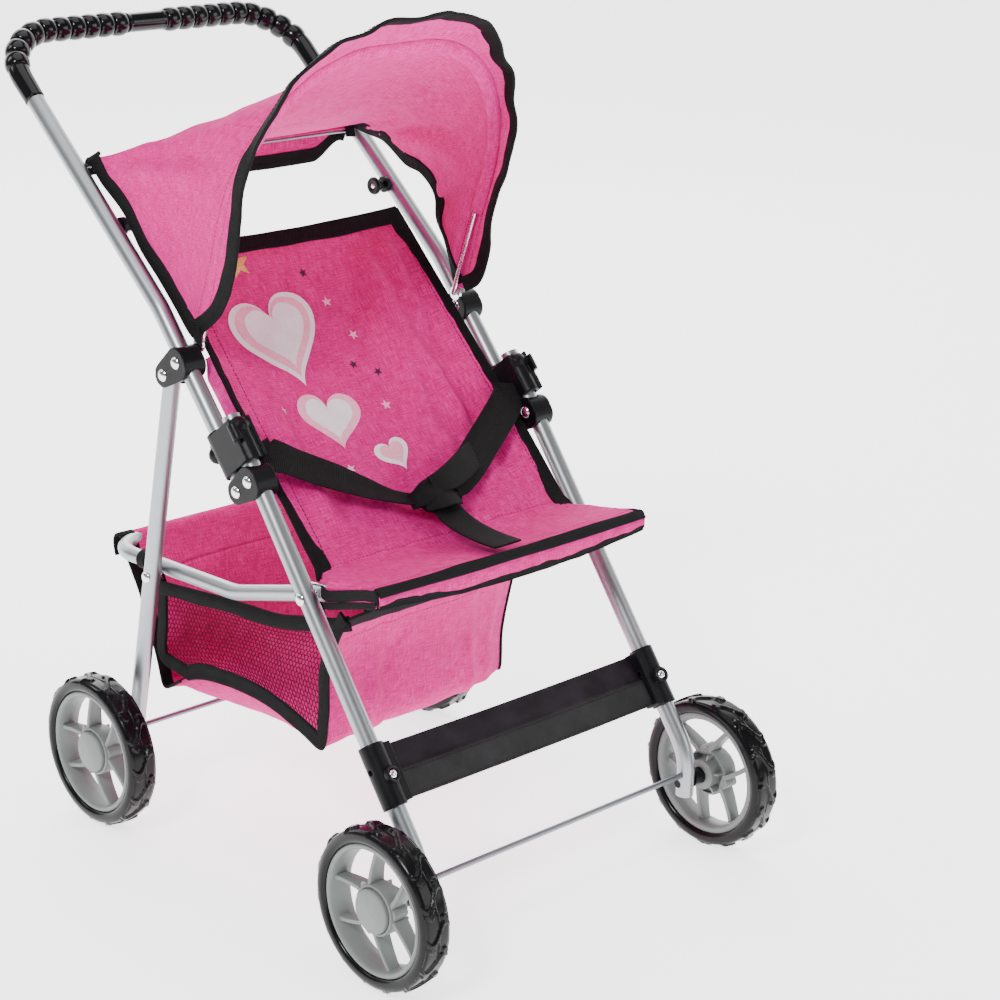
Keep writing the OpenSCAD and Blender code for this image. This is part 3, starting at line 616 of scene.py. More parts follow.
# ------------------------------------------------------------------ wheels
def tyre_mesh(b, mat=0):
    """Moulded tyre: a rounded crown with S-shaped blades and drop-shaped lugs; x is across the tread, outward positive."""
    R, rim_r, h = 55.0, 44.4, 11.0
    crown = []
    nz = 34
    for i in range(nz + 1):
        s = -1 + 2 * i / nz
        x = s * (h - 0.6)
        r = R - 0.5 * s * s - 3.2 * max(0, abs(s) - 0.72) ** 2 / 0.28 ** 2 * 1.0
        crown.append((r, x))
    side_out = [(49.6, h), (47.6, h + 0.05), (45.8, h - 0.35), (44.7, h - 1.6)]
    side_in = [(44.5, h - 2.2), (44.42, -h + 2.2), (44.7, -h + 1.6), (45.8, -h + 0.35), (47.6, -h), (49.6, -h)]
    prof = crown + side_out + side_in
    n_cr = len(crown)

    def shape(a, Rg, Xg):
        N = 15
        ph = (a * N / (2 * np.pi)) % 1.0
        s = Xg / (h - 0.6)
        d = np.zeros_like(Rg)
        is_cr = np.zeros(Rg.shape[1], bool); is_cr[:n_cr] = True
        # S-shaped blade across the tread
        cen = 0.5 + 0.26 * np.sin(np.pi * s) + 0.10 * s
        dist = np.abs((ph - cen + 0.5) % 1.0 - 0.5) * (2 * np.pi * R / N)
        blade = np.clip(1 - (dist / (2.6 + 0.9 * np.cos(np.pi * s))) ** 2, 0, 1)
        # drop-shaped lugs, one each side
        for sx, off in ((0.52, 0.93), (-0.52, 0.07)):
            ddx = (s - sx) * 9.4
            ddy = ((ph - off + 0.5) % 1.0 - 0.5) * (2 * np.pi * R / N)
            rr = np.sqrt((ddx / 2.6) ** 2 + ((ddy + 0.25 * ddx) / 3.4) ** 2)
            lug = np.clip(1 - rr ** 2.4, 0, 1) - 0.5 * np.clip(1 - (rr / 0.45) ** 2, 0, 1)
            blade = np.maximum(blade, lug)
        rib = np.clip(1 - np.abs(s) / 0.05, 0, 1) * 0.35
        edge = smooth01((np.abs(s) - 0.86) / 0.12)
        groove = 1.55 * (1 - smooth01(np.maximum(blade * 1.6, rib))) * (1 - edge)
        d = np.where(is_cr[None, :], -groove, 0.0)
        return Rg + d, Xg

    lathe(b, prof, 480, mat, rfun=shape)


def rim_mesh(b):
    """Grey wheel centre, all in material slot 0 (grey)."""
    prof = [(44.35, -8.2), (44.35, 8.4), (43.9, 9.1), (42.9, 9.5), (41.7, 9.4), (40.9, 8.7), (40.2, 7.0), (39.2, 2.0), (38.6, -1.4), (38.6, -2.6), (39.4, -6.6), (40.2, -8.0), (41.2, -8.6), (43.4, -8.7)]
    lathe(b, prof, 128, 0)
    # hub: a boss with a soft edge, and a sleeve behind
    lathe(b, [(3.1, 6.0), (14.9, 6.0), (15.1, 7.3), (15.9, 7.7), (16.8, 7.4), (17.2, 6.6), (17.3, -4.0), (16.6, -5.2), (15.6, -5.2), (15.4, -2.5), (11.2, -2.5), (11.0, -11.6), (10.5, -12.1), (3.1, -12.1)], 96, 0)
    for k in range(3):
        a0 = math.radians(k * 120)
        for sgn in (-1, 1):
            # one arm of a V: from the hub's side out to the rim, wider where it starts
            p0, p1 = np.array([14.8, sgn * 4.6]), np.array([31.6, sgn * 26.4])
            c = np.array([17.6, sgn * 8.0])
            t = np.linspace(0, 1, 15)[:, None]
            line = (1 - t) ** 2 * p0 + 2 * t * (1 - t) * (c * 0.5 + (p0 + p1) / 4 + np.array([1.6, -sgn * 1.2])) + t ** 2 * p1
            tan = np.gradient(line, axis=0); tan /= np.linalg.norm(tan, axis=1)[:, None]
            nor = np.stack([-tan[:, 1], tan[:, 0]], 1)
            tt = t[:, 0]
            thick = 1.35 + 0.5 * (1 - tt) + 0.6 * tt ** 6
            up_h = 6.6 - 0.6 * tt; lo_h = -5.4 + 2.4 * tt
            prof2 = []
            for i in range(len(tt)):
                hw, hi, lo = thick[i], up_h[i], lo_h[i]
                prof2.append([(-hw, lo + .5), (-hw * 0.9, lo), (hw * 0.9, lo), (hw, lo + .5), (hw, hi - .9), (hw * 0.72, hi - 0.2), (0, hi), (-hw * 0.72, hi - 0.2), (-hw, hi - .9)])
            prof2 = np.array(prof2)
            ca, sa = math.cos(a0), math.sin(a0)
            rotm = np.array([[ca, -sa], [sa, ca]])
            l2, n2 = line @ rotm.T, nor @ rotm.T
            pts = np.stack([np.zeros(len(tt)), l2[:, 0], l2[:, 1]], 1)
            side = np.stack([np.zeros(len(tt)), n2[:, 0], n2[:, 1]], 1)
            upv = np.broadcast_to(np.array([1.0, 0, 0]), pts.shape)
            sweep(b, pts, prof2[:, ::-1], side, upv, 0)
        # the web that closes the V beside the hub
        pts, side = [], []
        for r in np.linspace(13.5, 19.6, 5):
            pts.append((0, r * math.cos(a0), r * math.sin(a0)))
        pts = np.array(pts); side = np.broadcast_to(np.array([0, -math.sin(a0), math.cos(a0)]), pts.shape)
        ws = np.array([6.4, 6.0, 4.9, 3.2, 1.2])
        pf = np.array([[(-w_, -4.6), (w_, -4.6), (w_, 5.4), (w_ * 0.9, 6.1), (-w_ * 0.9, 6.1), (-w_, 5.4)] for w_ in ws])
        sweep(b, pts, pf[:, ::-1], side, np.broadcast_to(np.array([1.0, 0, 0]), pts.shape), 0)
    # moulded ribs behind the hub
    for k in range(6):
        a0 = math.radians(k * 60 + 30)
        d = np.array([0, math.cos(a0), math.sin(a0)]); sd = np.array([0, -math.sin(a0), math.cos(a0)])
        pts = np.array([d * r for r in (10.6, 13.0, 15.6)])
        sweep(b, pts, np.array([(-0.7, -9.6), (0.7, -9.6), (0.55, -2.4), (-0.55, -2.4)])[::-1], np.broadcast_to(sd, pts.shape), np.broadcast_to(np.array([1.0, 0, 0]), pts.shape), 0)


def cap_mesh(b):
    prof = [(0.02, 11.9), (5, 11.75), (10, 11.15), (13, 10.55), (14.3, 10.15), (14.75, 9.7), (14.85, 9.0), (14.8, 6.0), (14.2, 5.0), (0.02, 5.0)]
    lathe(b, prof, 96, 0)


def wheels():
    kinds = [("tyre", tyre_mesh, [TYRE], "tyre"), ("rim", rim_mesh, [RIM], "rim"), ("cap", cap_mesh, [RIM], "rim")]
    for kind, fn, mats, sl in kinds:
        b = Build(); fn(b)
        base_v, base_f = np.concatenate(b.v), b.f
        for end, c in (("front", front_axle), ("rear", rear_axle)):
            for side, s in (("left", 1.0), ("right", -1.0)):
                q = Build()
                v = base_v.copy()
                turn = math.radians({("front", "right"): 50, ("rear", "right"): 46, ("front", "left"): 75, ("rear", "left"): 20}[(end, side)])
                y, z = v[:, 1] * math.cos(turn) - v[:, 2] * math.sin(turn), v[:, 1] * math.sin(turn) + v[:, 2] * math.cos(turn)
                v = np.stack([s * v[:, 0] + s * 155.5, y + c[0], z + c[1]], 1)
                f = base_f if s > 0 else [g[::-1] for g in base_f]
                q.add(v, f, 0, np.concatenate(b.uv))
                o = q.obj(f"{kind}_{end}_{side}_shape", mats, True, 42)
                put(o, f"wheel_{end}_{side}", [f"{kind}_{end}_{side}"])


wheels()

# ------------------------------------------------------------------ carried-over CAD nodes: tubes, rods, rivets
def dress(name, mat, angle=35, weld=True):
    o = node_objs[name]
    me = o.data
    me.materials.clear()
    me.materials.append(mat)
    me.polygons.foreach_set("use_smooth", [True] * len(me.polygons))
    me.polygons.foreach_set("material_index", [0] * len(me.polygons))
    if weld:
        w = o.modifiers.new("weld", "WELD"); w.merge_threshold = 0.00002
    if me.has_custom_normals:
        with bpy.context.temp_override(object=o, active_object=o, mesh=me):
            bpy.ops.mesh.customdata_custom_splitnormals_clear()
    me.set_sharp_from_angle(angle=math.radians(angle))
    e = o.modifiers.new("edges", "EDGE_SPLIT"); e.split_angle = math.radians(angle); e.use_edge_sharp = False
    return o


for n in ("front_leg_left", "front_leg_right", "handle_tube", "basket_frame", "rear_leg_left", "rear_leg_right"):
    dress(n, ALU)
for n in ("front_cross_rod", "rear_cross_rod", "canopy_rod"):
    dress(n, ROD)
for n in ("canopy_bow", "seat_front_wire", "hinge_rivets", "bracket_rivets", "basket_pivots", "leg_rivets", "footrest_screws"):
    dress(n, STEEL)
for n in ("seat_studs", "front_axles", "rear_axles"):
    dress(n, BLACK)


def soften(name, node, voxel, passes, mat, extra=None, body=None):
    """A moulded part: the CAD shape with its edges rounded as a mould leaves them."""
    src = node_objs[node]
    me = src.data.copy()
    o = bpy.data.objects.new(name, me)
    bpy.context.scene.collection.objects.link(o)
    if extra:
        bm = bmesh.new(); bm.from_mesh(me)
        for v, f in extra:
            vs = [bm.verts.new(tuple(np.asarray(p) * K)) for p in v]
            for q in f:
                bm.faces.new([vs[i] for i in q])
        bm.to_mesh(me); bm.free()
    o.modifiers.new("weld", "WELD").merge_threshold = 0.00002
    r = o.modifiers.new("remesh", "REMESH"); r.mode = "VOXEL"; r.voxel_size = voxel * K; r.use_smooth_shade = True
    c = o.modifiers.new("smooth", "SMOOTH"); c.factor = 0.6; c.iterations = passes
    dg = bpy.context.evaluated_depsgraph_get()
    final = bpy.data.meshes.new_from_object(o.evaluated_get(dg), depsgraph=dg)
    o.modifiers.clear()
    o.data = final
    final.name = name
    final.materials.clear(); final.materials.append(mat)
    final.polygons.foreach_set("use_smooth", [True] * len(final.polygons))
    final.polygons.foreach_set("material_index", [0] * len(final.polygons))
    put(o, body, [node])
    return o


def ball(c, r, m=20, n=12, stretch=(1, 1, 1)):
    v, f = [], []
    v.append(np.array(c) + np.array([0, 0, r * stretch[2]]))
    for i in range(1, n):
        a = math.pi * i / n
        for j in range(m):
            q = 2 * math.pi * j / m
            v.append(np.array(c) + np.array([r * stretch[0] * math.sin(a) * math.cos(q), r * stretch[1] * math.sin(a) * math.sin(q), r * stretch[2] * math.cos(a)]))
    v.append(np.array(c) - np.array([0, 0, r * stretch[2]]))
    for j in range(m):
        f.append((0, 1 + j, 1 + (j + 1) % m))
        e = 1 + (n - 2) * m
        f.append((len(v) - 1, e + (j + 1) % m, e + j))
    for i in range(n - 2):
        for j in range(m):
            a, bq = 1 + i * m + j, 1 + i * m + (j + 1) % m
            f.append((a, a + m, bq + m, bq))
    return v, f


def tube_part(path, r, up=(1, 0, 0), m=24, caps=True):
    q = Build()
    side, upv = carry(np.asarray(path, float), up)
    rr = np.broadcast_to(np.asarray(r, float), (len(path),))
    pr = np.array([circle(x, m) for x in rr])
    sweep(q, path, pr, side, upv, 0, caps)
    return np.concatenate(q.v), q.f


VOX = 0.55
for s, k in ((1, "left"), (-1, "right")):
    soften(f"lower_bracket_{k}", f"hinge_bracket_{k}", VOX, 3, BLACK, None, "front_frame")
    soften(f"upper_bracket_{k}_shape", f"upper_bracket_{k}", VOX, 3, BLACK, None, "handle")
    # the lock: a wide sleeve that takes in the front leg's end, a ball knob in front, a round bump behind
    fr = np.array([upd[1], -upd[0]]) * -1.0            # towards the front, off the handle tube
    c = pivB + upd * 27.5
    X = s * tube_x
    knob = pivB + upd * 36.0 + fr * 21.5
    stem = tube_part([P(X, pivB + upd * 25 + fr * 13.0), P(X, pivB + upd * 31 + fr * 18.0), P(X, knob)], [5.4, 5.2, 5.6])
    extra = [ball(P(X, knob), 7.4, stretch=(1.02, 1, 1)), stem,
             ball(P(X, pivB + upd * 32.0 - fr * 10.5), 5.8, stretch=(1.25, 1, 1.15))]
    rim_lo = tube_part([P(X, pivB + upd * 10.6), P(X, pivB + upd * 13.6)], [10.0, 10.0])
    cv, cf, m_ = [], [], 17
    for h in (11.2, 19.0, 28.0, 35.5):
        for i in range(m_):
            a = -math.pi / 2 + math.pi * i / (m_ - 1)
            for rx, dd in ((8.85, 13.4), (6.6, 10.9)):
                q = P(X + rx * math.sin(a), pivB + upd * h + fr * (14.0 + dd * math.cos(a)))
                cv.append(q)
    w_ = 2 * m_
    for r_ in range(3):
        for i in range(m_ - 1):
            a0, a1 = r_ * w_ + 2 * i, r_ * w_ + 2 * i + 2
            cf.append((a0, a1, a1 + w_, a0 + w_)); cf.append((a1 + 1, a0 + 1, a0 + 1 + w_, a1 + 1 + w_))
        for e_ in (0, 2 * (m_ - 1)):
            a0 = r_ * w_ + e_
            cf.append((a0, a0 + w_, a0 + w_ + 1, a0 + 1))
    for r_ in (0, 3):
        for i in range(m_ - 1):
            a0 = r_ * w_ + 2 * i
            cf.append((a0, a0 + 1, a0 + 3, a0 + 2))
    extra.append((cv, cf))
    soften(f"lock_{k}_shape", f"lock_{k}", VOX, 3, BLACK, extra, f"lock_{k}")
    soften(f"footrest_sleeve_{k}_shape", f"footrest_sleeve_{k}", VOX * 1.1, 2, BLACK, None, "front_frame")


# ------------------------------------------------------------------ grips
def grip_path():
    Rb = 43.0
    st = top - legd * (Rb + 18)
    pts = []
    for x in np.linspace(0, 18, 10)[:-1]:
        pts.append(P(tube_x, st + legd * x))
    c = P(tube_x - Rb, top - legd * Rb)
    for a in np.linspace(0, 90, 40):
        r = math.radians(a)
        pts.append(c + np.array([Rb * math.cos(r), 0, 0]) + P(0, legd) * Rb * math.sin(r))
    for x in np.linspace(tube_x - Rb, 16.9, 30)[1:]:
        pts.append(P(x, top))
    return resample(np.array(pts), 900)


gp = grip_path()
gl = length(gp)
gd = np.linspace(0, gl, len(gp))


def bead_radius(d, sgn):
    """Radius of the moulded grip at distance d from its lower end."""
    r = np.full_like(d, 7.2)
    sleeve = smooth01((d - 0) / 1.2)
    r = 6.55 + 0.65 * sleeve + 0.02 * d
    r = np.where(d > 27, 6.45, r)
    n, first = 10, 27.5
    pitch = (gl - first - 0.4) / n
    for i in range(n):
        c = first + pitch * (i + 0.5)
        q = np.clip(1 - np.abs((d - c) / (pitch * 0.47)) ** 2.2, 0, 1) ** 0.5
        r = np.maximum(r, 6.45 + (9.0 - 6.45) * q)
    return r


for s, k in ((1, "left"), (-1, "right")):
    b = Build()
    pts = gp * np.array([s, 1, 1])
    side, upv = carry(pts, (0, -legd[1], legd[0]))
    rr = bead_radius(gd, s)
    prof = np.array([circle(x, 40) for x in rr])
    # the beaded sleeve: one tube, capped at both ends
    sweep(b, pts, prof, side, upv, 0, True)
    o = b.obj(f"grip_{k}_beads", [GRIP], True, 50)
    put(o, "handle", [f"grip_{k}"])
b = Build()
x = np.linspace(-16.7, 16.7, 61)
rm = 7.15 + 0.28 * np.exp(-((np.abs(x) - 15.8) / 0.9) ** 2) - 0.15 * smooth01((np.abs(x) - 16.2) / 0.5)
pts = np.array([P(q, top) for q in x])
side, upv = carry(pts, (0, -legd[1], legd[0]))
sweep(b, pts, np.array([circle(q, 48) for q in rm]), side, upv, 0, True)
put(b.obj("grip_middle_shape", [GRIP], True, 50), "handle", ["grip_middle"])


# ------------------------------------------------------------------ footrest band
def footrest():
    b = Build()
    n = 61
    xs = np.linspace(-114.2, 114.2, n)
    c = screwF - lowd * 4.5
    nrm = np.array([-lowd[1], lowd[0]])            # out of the band, to the front and up
    rows = []
    for v in np.linspace(-19, 19, 27):
        row = []
        for x in xs:
            sag = -1.4 * (1 - (x / 114.2) ** 2)
            off = 1.2 * smooth01((v + 1.0) / 3.0) * -1.0 + 0.4 * fbm(x * 0.02, v * 0.05, 3.0)
            if v > 1.0:
                off -= 0.055 * (v - 1.0) ** 1.2
            p = c + lowd * (v + sag * 0.4) + nrm * (off + sag * 0.5)
            row.append(P(x, p))
        rows.append(row)
    G = np.array(rows)
    a = np.concatenate([[0], np.cumsum(np.linalg.norm(np.diff(G[:, 30], axis=0), axis=1))]) * K
    uv = np.stack(np.meshgrid(xs * K, a), -1)
    top_rows = G[12:]; low_rows = G[:14]
    # top rows take material 0: smooth, and darker as painted shade on the band's top face
    shell(b, top_rows, 1.4, 0, None, uv[12:])
    low = low_rows + P(0, nrm)[None, None] * 0.9
    shell(b, low, 2.4, 1, None, uv[:14])
    # sewn line along the joint and along the lower hem
    for row, lift in ((12, 2.15), (1, 2.15)):
        path = low[row] if row < len(low) else low[-1]
        stitches(b, path, np.broadcast_to(P(0, nrm), path.shape), None, 2, 3.4, 2.3, 0.3, None, lift - 0.9 + 0.05)
    o = b.obj("footrest_band_strip", [BAND_TOP_SHADED, BAND_LOW, BTHREAD], True, 50)
    put(o, "front_frame", ["footrest_band"])


footrest()


def screw_caps():
    """Footrest screws: a black collar and a domed steel head on the front of each sleeve."""
    b = Build()
    nrm = np.array([0.0, -0.791, 0.612])
    for s in (-1, 1):
        c = np.array([s * 125.4, -178.1, 128.2]) - nrm * 0.6
        for prof, mat in (([(0.02, -1.5), (5.4, -1.5), (5.8, 0.8), (5.6, 1.9), (4.7, 2.4), (3.8, 2.0), (3.5, 1.0), (0.02, 0.9)], 0), ([(0.02, 0.6), (3.1, 0.7), (3.2, 1.4), (2.6, 2.3), (1.6, 2.9), (0.02, 3.1)], 1)):
            q = Build(); lathe(q, prof, 40, 0)
            v = np.concatenate(q.v)
            ax = unit(nrm + np.array([s * -0.12, 0, 0])); e1 = unit(np.cross(ax, (1, 0, 0))); e2 = np.cross(ax, e1)
            b.add(c + v[:, :1] * ax + v[:, 1:2] * e1 + v[:, 2:3] * e2, q.f, mat)
    o = b.obj("footrest_screw_heads", [BLACK, STEEL], True, 50)
    put(o, "front_frame", ["footrest_screws"])


screw_caps()

# ------------------------------------------------------------------ seat sling: one sheet from the valance over the front wire, back to the crease and up the back
def interp_rows(keys, t):
    """keys: rows of (t, y, z, half width, sag, x shift)."""
    k = np.array(keys, float)
    return [np.interp(t, k[:, 0], k[:, i]) for i in range(1, k.shape[1])]


SB0, SB1 = np.array([-90.0, 235.6]), np.array([90.0, 415.6])
seat_prof = catmull([(0, -156.6, 228.5), (0, -157.6, 236), (0, -156.0, 242.2), (0, -151.0, 243.9), (0, -138, 242.4), (0, -118, 239.3), (0, -100, 235.6), (0, -91.5, 235.2), (0, -84, 241.0), (0, -60, 265.4), (0, -20, 305.4), (0, 40, 365.5), (0, 90, 415.4)], 400)
seat_s = np.concatenate([[0], np.cumsum(np.linalg.norm(np.diff(seat_prof, axis=0), axis=1))])
SEAT_L = float(seat_s[-1])
s_fold = float(np.interp(242.0, [228.5, 242.0], [0, 14.0]))
s_crease = float(seat_s[np.argmin(np.hypot(seat_prof[:, 1] + 91.5, seat_prof[:, 2] - 235.2))])
s_piv = s_crease + 75.0


def seat_half(s):
    return np.interp(s, [0, 8, 14, s_crease - 16, s_crease - 7, s_crease + 6, s_crease + 60, SEAT_L], [120.6, 121.0, 121.2, 121.0, 117.8, 112.6, 112.2, 106.6])


def seat_point(s, q):
    """A point of the seat's middle surface: s along it from the valance's hem, q from -1 (right) to 1 (left)."""
    y, z = np.interp(s, seat_s, seat_prof[:, 1]), np.interp(s, seat_s, seat_prof[:, 2])
    i = 0.8
    ty, tz = np.interp(s + i, seat_s, seat_prof[:, 1]) - np.interp(s - i, seat_s, seat_prof[:, 1]), np.interp(s + i, seat_s, seat_prof[:, 2]) - np.interp(s - i, seat_s, seat_prof[:, 2])
    l = math.hypot(ty, tz) or 1
    ny, nz = -tz / l, ty / l                          # towards the child
    hw = float(seat_half(s))
    x = q * hw
    side = 1 - q * q
    d = 0.0
    calm = float(1 - smooth01((abs(q) - 0.80) / 0.075)) * float(1 - smooth01((s - (SEAT_L - 30)) / 14.0))
    if s > s_crease:                                 # the back
        u = (s - s_crease) / (SEAT_L - s_crease)
        d -= 15.0 * side ** 0.8 * math.sin(math.pi * min(1, u * 1.02)) ** 0.9
        d -= 3.0 * side * u
        # folds that run up from the crease's ends and from the strap's slots
        for cx, amp, w, ph, u0, u1 in ((0.42, 3.6, 0.10, 0.16, 0.08, 0.92), (0.66, 3.2, 0.07, -0.20, 0.25, 0.97), (0.62, 3.4, 0.085, 0.20, 0.05, 0.95), (0.80, 2.6, 0.06, -0.10, 0.30, 0.98), (-0.72, 2.4, 0.07, 0.08, 0.05, 0.6), (0.25, 1.8, 0.10, 0.35, 0.02, 0.5), (-0.30, 1.4, 0.09, -0.25, 0.02, 0.42)):
            c = cx + ph * (u - 0.3)
            win = smooth01((u - u0) / 0.15) * smooth01((u1 - u) / 0.2)
            amp *= 1.9 * calm
            d += amp * win * math.exp(-((q - c) / w) ** 2) * (1 - abs(q) ** 8)
            d -= amp * 0.7 * win * math.exp(-((q - c - 2.0 * w) / (w * 1.1)) ** 2) * (1 - abs(q) ** 8)
        d += (3.4 * fbm(x * 0.018, s * 0.014, 1.0) + 0.9 * fbm(x * 0.07, s * 0.05, 5.0, 2)) * calm
        # the cross pull between the two straps
        d += 2.2 * calm * math.exp(-(((s - s_crease - 62) - 18 * q) / 16) ** 2) * side
        # hem pulls in a little between the studs
        if u > 0.93:
            d -= 4.0 * side * smooth01((u - 0.93) / 0.07)
    elif s > 16:
        u = (s - 16) / (s_crease - 16)
        d -= 5.0 * side ** 0.9 * math.sin(math.pi * u) ** 0.8
        d += 2.4 * fbm(x * 0.025, s * 0.03, 2.0) * side ** 0.3
        z -= float(np.interp(y, [-156, -150, -140, -120, -110, -100, -92], [0.6, 2.3, 3.9, 7.3, 8.4, 6.8, 1.5])) * smooth01((abs(q) - 0.971) / 0.029) * (1.0 if q < 0 else 0.7)
        d += 1.8 * math.sin(math.pi * u) * math.exp(-((q + 0.55) / 0.16) ** 2) + 1.5 * math.sin(math.pi * u) * math.exp(-((q - 0.62) / 0.12) ** 2)
    else:                                            # the valance
        d += 0.9 * math.sin(x * 0.055 + 1.0) * (1 - s / 16) + 0.8 * fbm(x * 0.03, s * 0.05, 7.0) * (1 - s / 16)
        z = 243.0 - (243.0 - z) * float(np.interp(q, [-1, -0.85, -0.4, 0.5, 0.9, 1], [0.62, 0.70, 1.12, 1.12, 0.80, 0.66]))
    return np.array([x, y + ny * d, z + nz * d])


def seat_weight(s):
    return float(smooth01((s - (s_piv - 26)) / 52.0))


s_rows = np.unique(np.concatenate([np.linspace(0, 18, 10), np.linspace(18, s_crease - 8, 22), np.linspace(s_crease - 8, s_crease + 10, 13), np.linspace(s_crease + 10, SEAT_L, 92)]))
q_cols = np.unique(np.concatenate([np.linspace(-1, -0.95, 8), np.linspace(-0.95, 0.95, 73), np.linspace(0.95, 1, 8)]))
SEAT = np.array([[seat_point(s, q) for q in q_cols] for s in s_rows])
SEAT_W = np.array([[seat_weight(s)] * len(q_cols) for s in s_rows])
SEAT_UV = np.array([[(q * float(seat_half(s)) * K, s * K) for q in q_cols] for s in s_rows])


def seat_normals(G):
    du, dv = np.gradient(G, axis=0), np.gradient(G, axis=1)
    N = np.cross(dv, du)
    return N / np.maximum(1e-9, np.linalg.norm(N, axis=2))[..., None]


SEAT_N = seat_normals(SEAT)
if (SEAT_N[60, len(q_cols) // 2] @ np.array([0, -0.7, 0.7])) < 0:
    SEAT_N = -SEAT_N


def blended(o, a, b, w, start, end):
    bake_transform(o, a, b, start, end)
    at = o.data.attributes["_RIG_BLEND"]
    at.data.foreach_set("value", np.asarray(w, np.float32))


def seat():
    b = Build()
    shell(b, SEAT, 1.1, 0, 0, SEAT_UV, SEAT_W)
    o = b.obj("seat_sling", [PINK], True, None)
    w = b.weights()
    blended(o, "front_frame", "handle", w, (0, -0.05, 0.26), (0, 0.0, 0.31))
    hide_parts("seat_base", "seat_back_lower", "seat_back")
    # side wings of the back: the cloth turns back from its tape towards the tube
    wg = Build()
    ja, jb = int(np.searchsorted(s_rows, s_crease + 58)), int(np.searchsorted(s_rows, s_crease + 172))
    for col, sg in ((0, -1), (-1, 1)):
        e = resample(SEAT[ja:jb, col], 60); n = resample(SEAT_N[ja:jb, col], 60)
        we = np.interp(np.linspace(0, 1, 60), np.linspace(0, 1, jb - ja), SEAT_W[ja:jb, 0])
        taper = smooth01(np.linspace(0, 1, 60) / 0.10) * smooth01((1 - np.linspace(0, 1, 60)) / 0.12)
        G = []
        for k in np.linspace(0, 1, 7):
            q = e - n * (0.7 + 12.5 * k * (0.25 + 0.75 * taper))[:, None]
            q[:, 0] = e[:, 0] + sg * (np.minimum(114.3 - np.abs(e[:, 0]), 3.0) * k ** 0.7 + 0.25 * np.sin(e[:, 2] * 0.11) * k)
            G.append(q)
        G = np.array(G)
        shell(wg, G, 0.9, 0, 0, None, np.broadcast_to(we, (7, 60)))
    # the wings take the lighter pink copy: painted backlight through the cloth
    wo = wg.obj("seat_side_wings", [PINK_BACKLIT], True, None)
    blended(wo, "front_frame", "handle", wg.weights(), (0, -0.05, 0.26), (0, 0.0, 0.31))
    # edge tapes: both sides of the back, its top, the front edge and the valance's hem
    t = Build()
    i0 = int(np.searchsorted(s_rows, s_crease - 2))
    for col, sg in ((0, 1), (-1, -1)):
        e = SEAT[i0:, col]; n = SEAT_N[i0:, col]
        tan = tangents(e)
        inw = np.cross(n, tan); inw *= np.sign((inw[:, 0] * sg).mean())
        n2 = np.cross(tan, inw); n2 *= np.sign((n2 * n).sum(1).mean())
        binding(t, e, inw, n2, 11.0, 1.35, 1.0, 0, SEAT_W[i0:, 0], seed=2 + sg)
    e = SEAT[-1]; tan = tangents(e); n = SEAT_N[-1]
    inw = SEAT[-2] - SEAT[-1]; inw /= np.linalg.norm(inw, axis=1)[:, None]
    binding(t, e, inw, n, 12.0, 1.5, 1.0, 0, np.ones(len(e)), seed=5)
    # base sides
    i1 = int(np.searchsorted(s_rows, 10))
    for col, sg in ((0, 1), (-1, -1)):
        e = resample(SEAT[i1:i0 - 3, col], 50)
        e[:, 0] = np.clip(e[:, 0] - sg * 0.9, -122.4, 122.4) if sg > 0 else np.clip(e[:, 0] + 0.9, -122.4, 122.4)
        wv = np.array([noise.noise(Vector((y * 0.06, sg * 2.0, 5.0))) for y in e[:, 1]])
        e[:, 2] -= 1.6 + 0.6 * wv
        sweep(t, e, np.array([flat_prof(8.2 + 1.4 * v_, 1.5, 4) for v_ in wv]), np.broadcast_to(np.array([0, 0, 1.0]), e.shape), np.broadcast_to(np.array([-float(sg), 0, 0]), e.shape), 0, True, False, np.zeros(len(e)))
    # front edge tape, laid over the fold, and the hem's tape
    r = int(np.searchsorted(s_rows, 13.0))
    e = resample(SEAT[r], 160)
    n = resample(SEAT_N[r], 160); tan = tangents(e)
    n = n - (n * tan).sum(1)[:, None] * tan; n /= np.linalg.norm(n, axis=1)[:, None]
    sd = np.cross(tan, n)
    wob = np.array([noise.noise(Vector((x * 0.03, 3.3, 1.0))) for x in e[:, 0]])
    pf = np.array([flat_prof(7.6 + 1.2 * q, 1.5, 4) for q in wob])
    sweep(t, e + n * 1.0 + np.array([0, 0, 0.5]) * wob[:, None], pf, sd, n, 0, True, False, np.zeros(len(e)))
    e = resample(SEAT[0], 160); n = resample(SEAT_N[0], 160)
    binding(t, e, np.broadcast_to(np.array([0, 0, 1.0]), e.shape), n, 4.5, 1.2, 0.8, 0, np.zeros(len(e)), seed=11)
    # short side flaps under the base's side edges
    sv = Build()
    ia, ib = int(np.searchsorted(s_rows, 14.5)), int(np.searchsorted(s_rows, s_crease - 15))
    for col, sg in ((0, -1), (-1, 1)):
        e = resample(np.vstack([[sg * 120.6, -156.9, 239.0], SEAT[ia:ib, col] + np.array([0, 0, -4.2])]), 40)
        G = np.array([e + np.array([sg * (0.35 + 0.3 * k), 0, 1.0 - k]) for k in np.linspace(0, 6.2, 9)])
        G[:, :, 0] += sg * 0.4 * np.sin(G[:, :, 1] * 0.12) * np.linspace(0, 1, 9)[:, None]
        G[:, :, 0] = np.clip(G[:, :, 0], -122.6, 122.6)
        shell(sv, G, 0.9, 0, 0)
        eb = G[-1]; tn = tangents(eb)
        nb = np.cross(tn, np.broadcast_to(np.array([0, 0, 1.0]), eb.shape)); nb /= np.linalg.norm(nb, axis=1)[:, None]
        binding(t, eb, np.cross(nb, tn) * np.sign(np.cross(nb, tn)[:, 2].mean()), nb, 3.6, 1.0, 0.6, 0, np.zeros(len(eb)), seed=14 + sg)
    svo = sv.obj("seat_side_flaps", [PINK], True, None)
    put(svo, "front_frame", ())
    tp = t.obj("seat_binding", [BIND], True, 60)
    blended(tp, "front_frame", "handle", t.weights(), (0, -0.05, 0.26), (0, 0.0, 0.31))
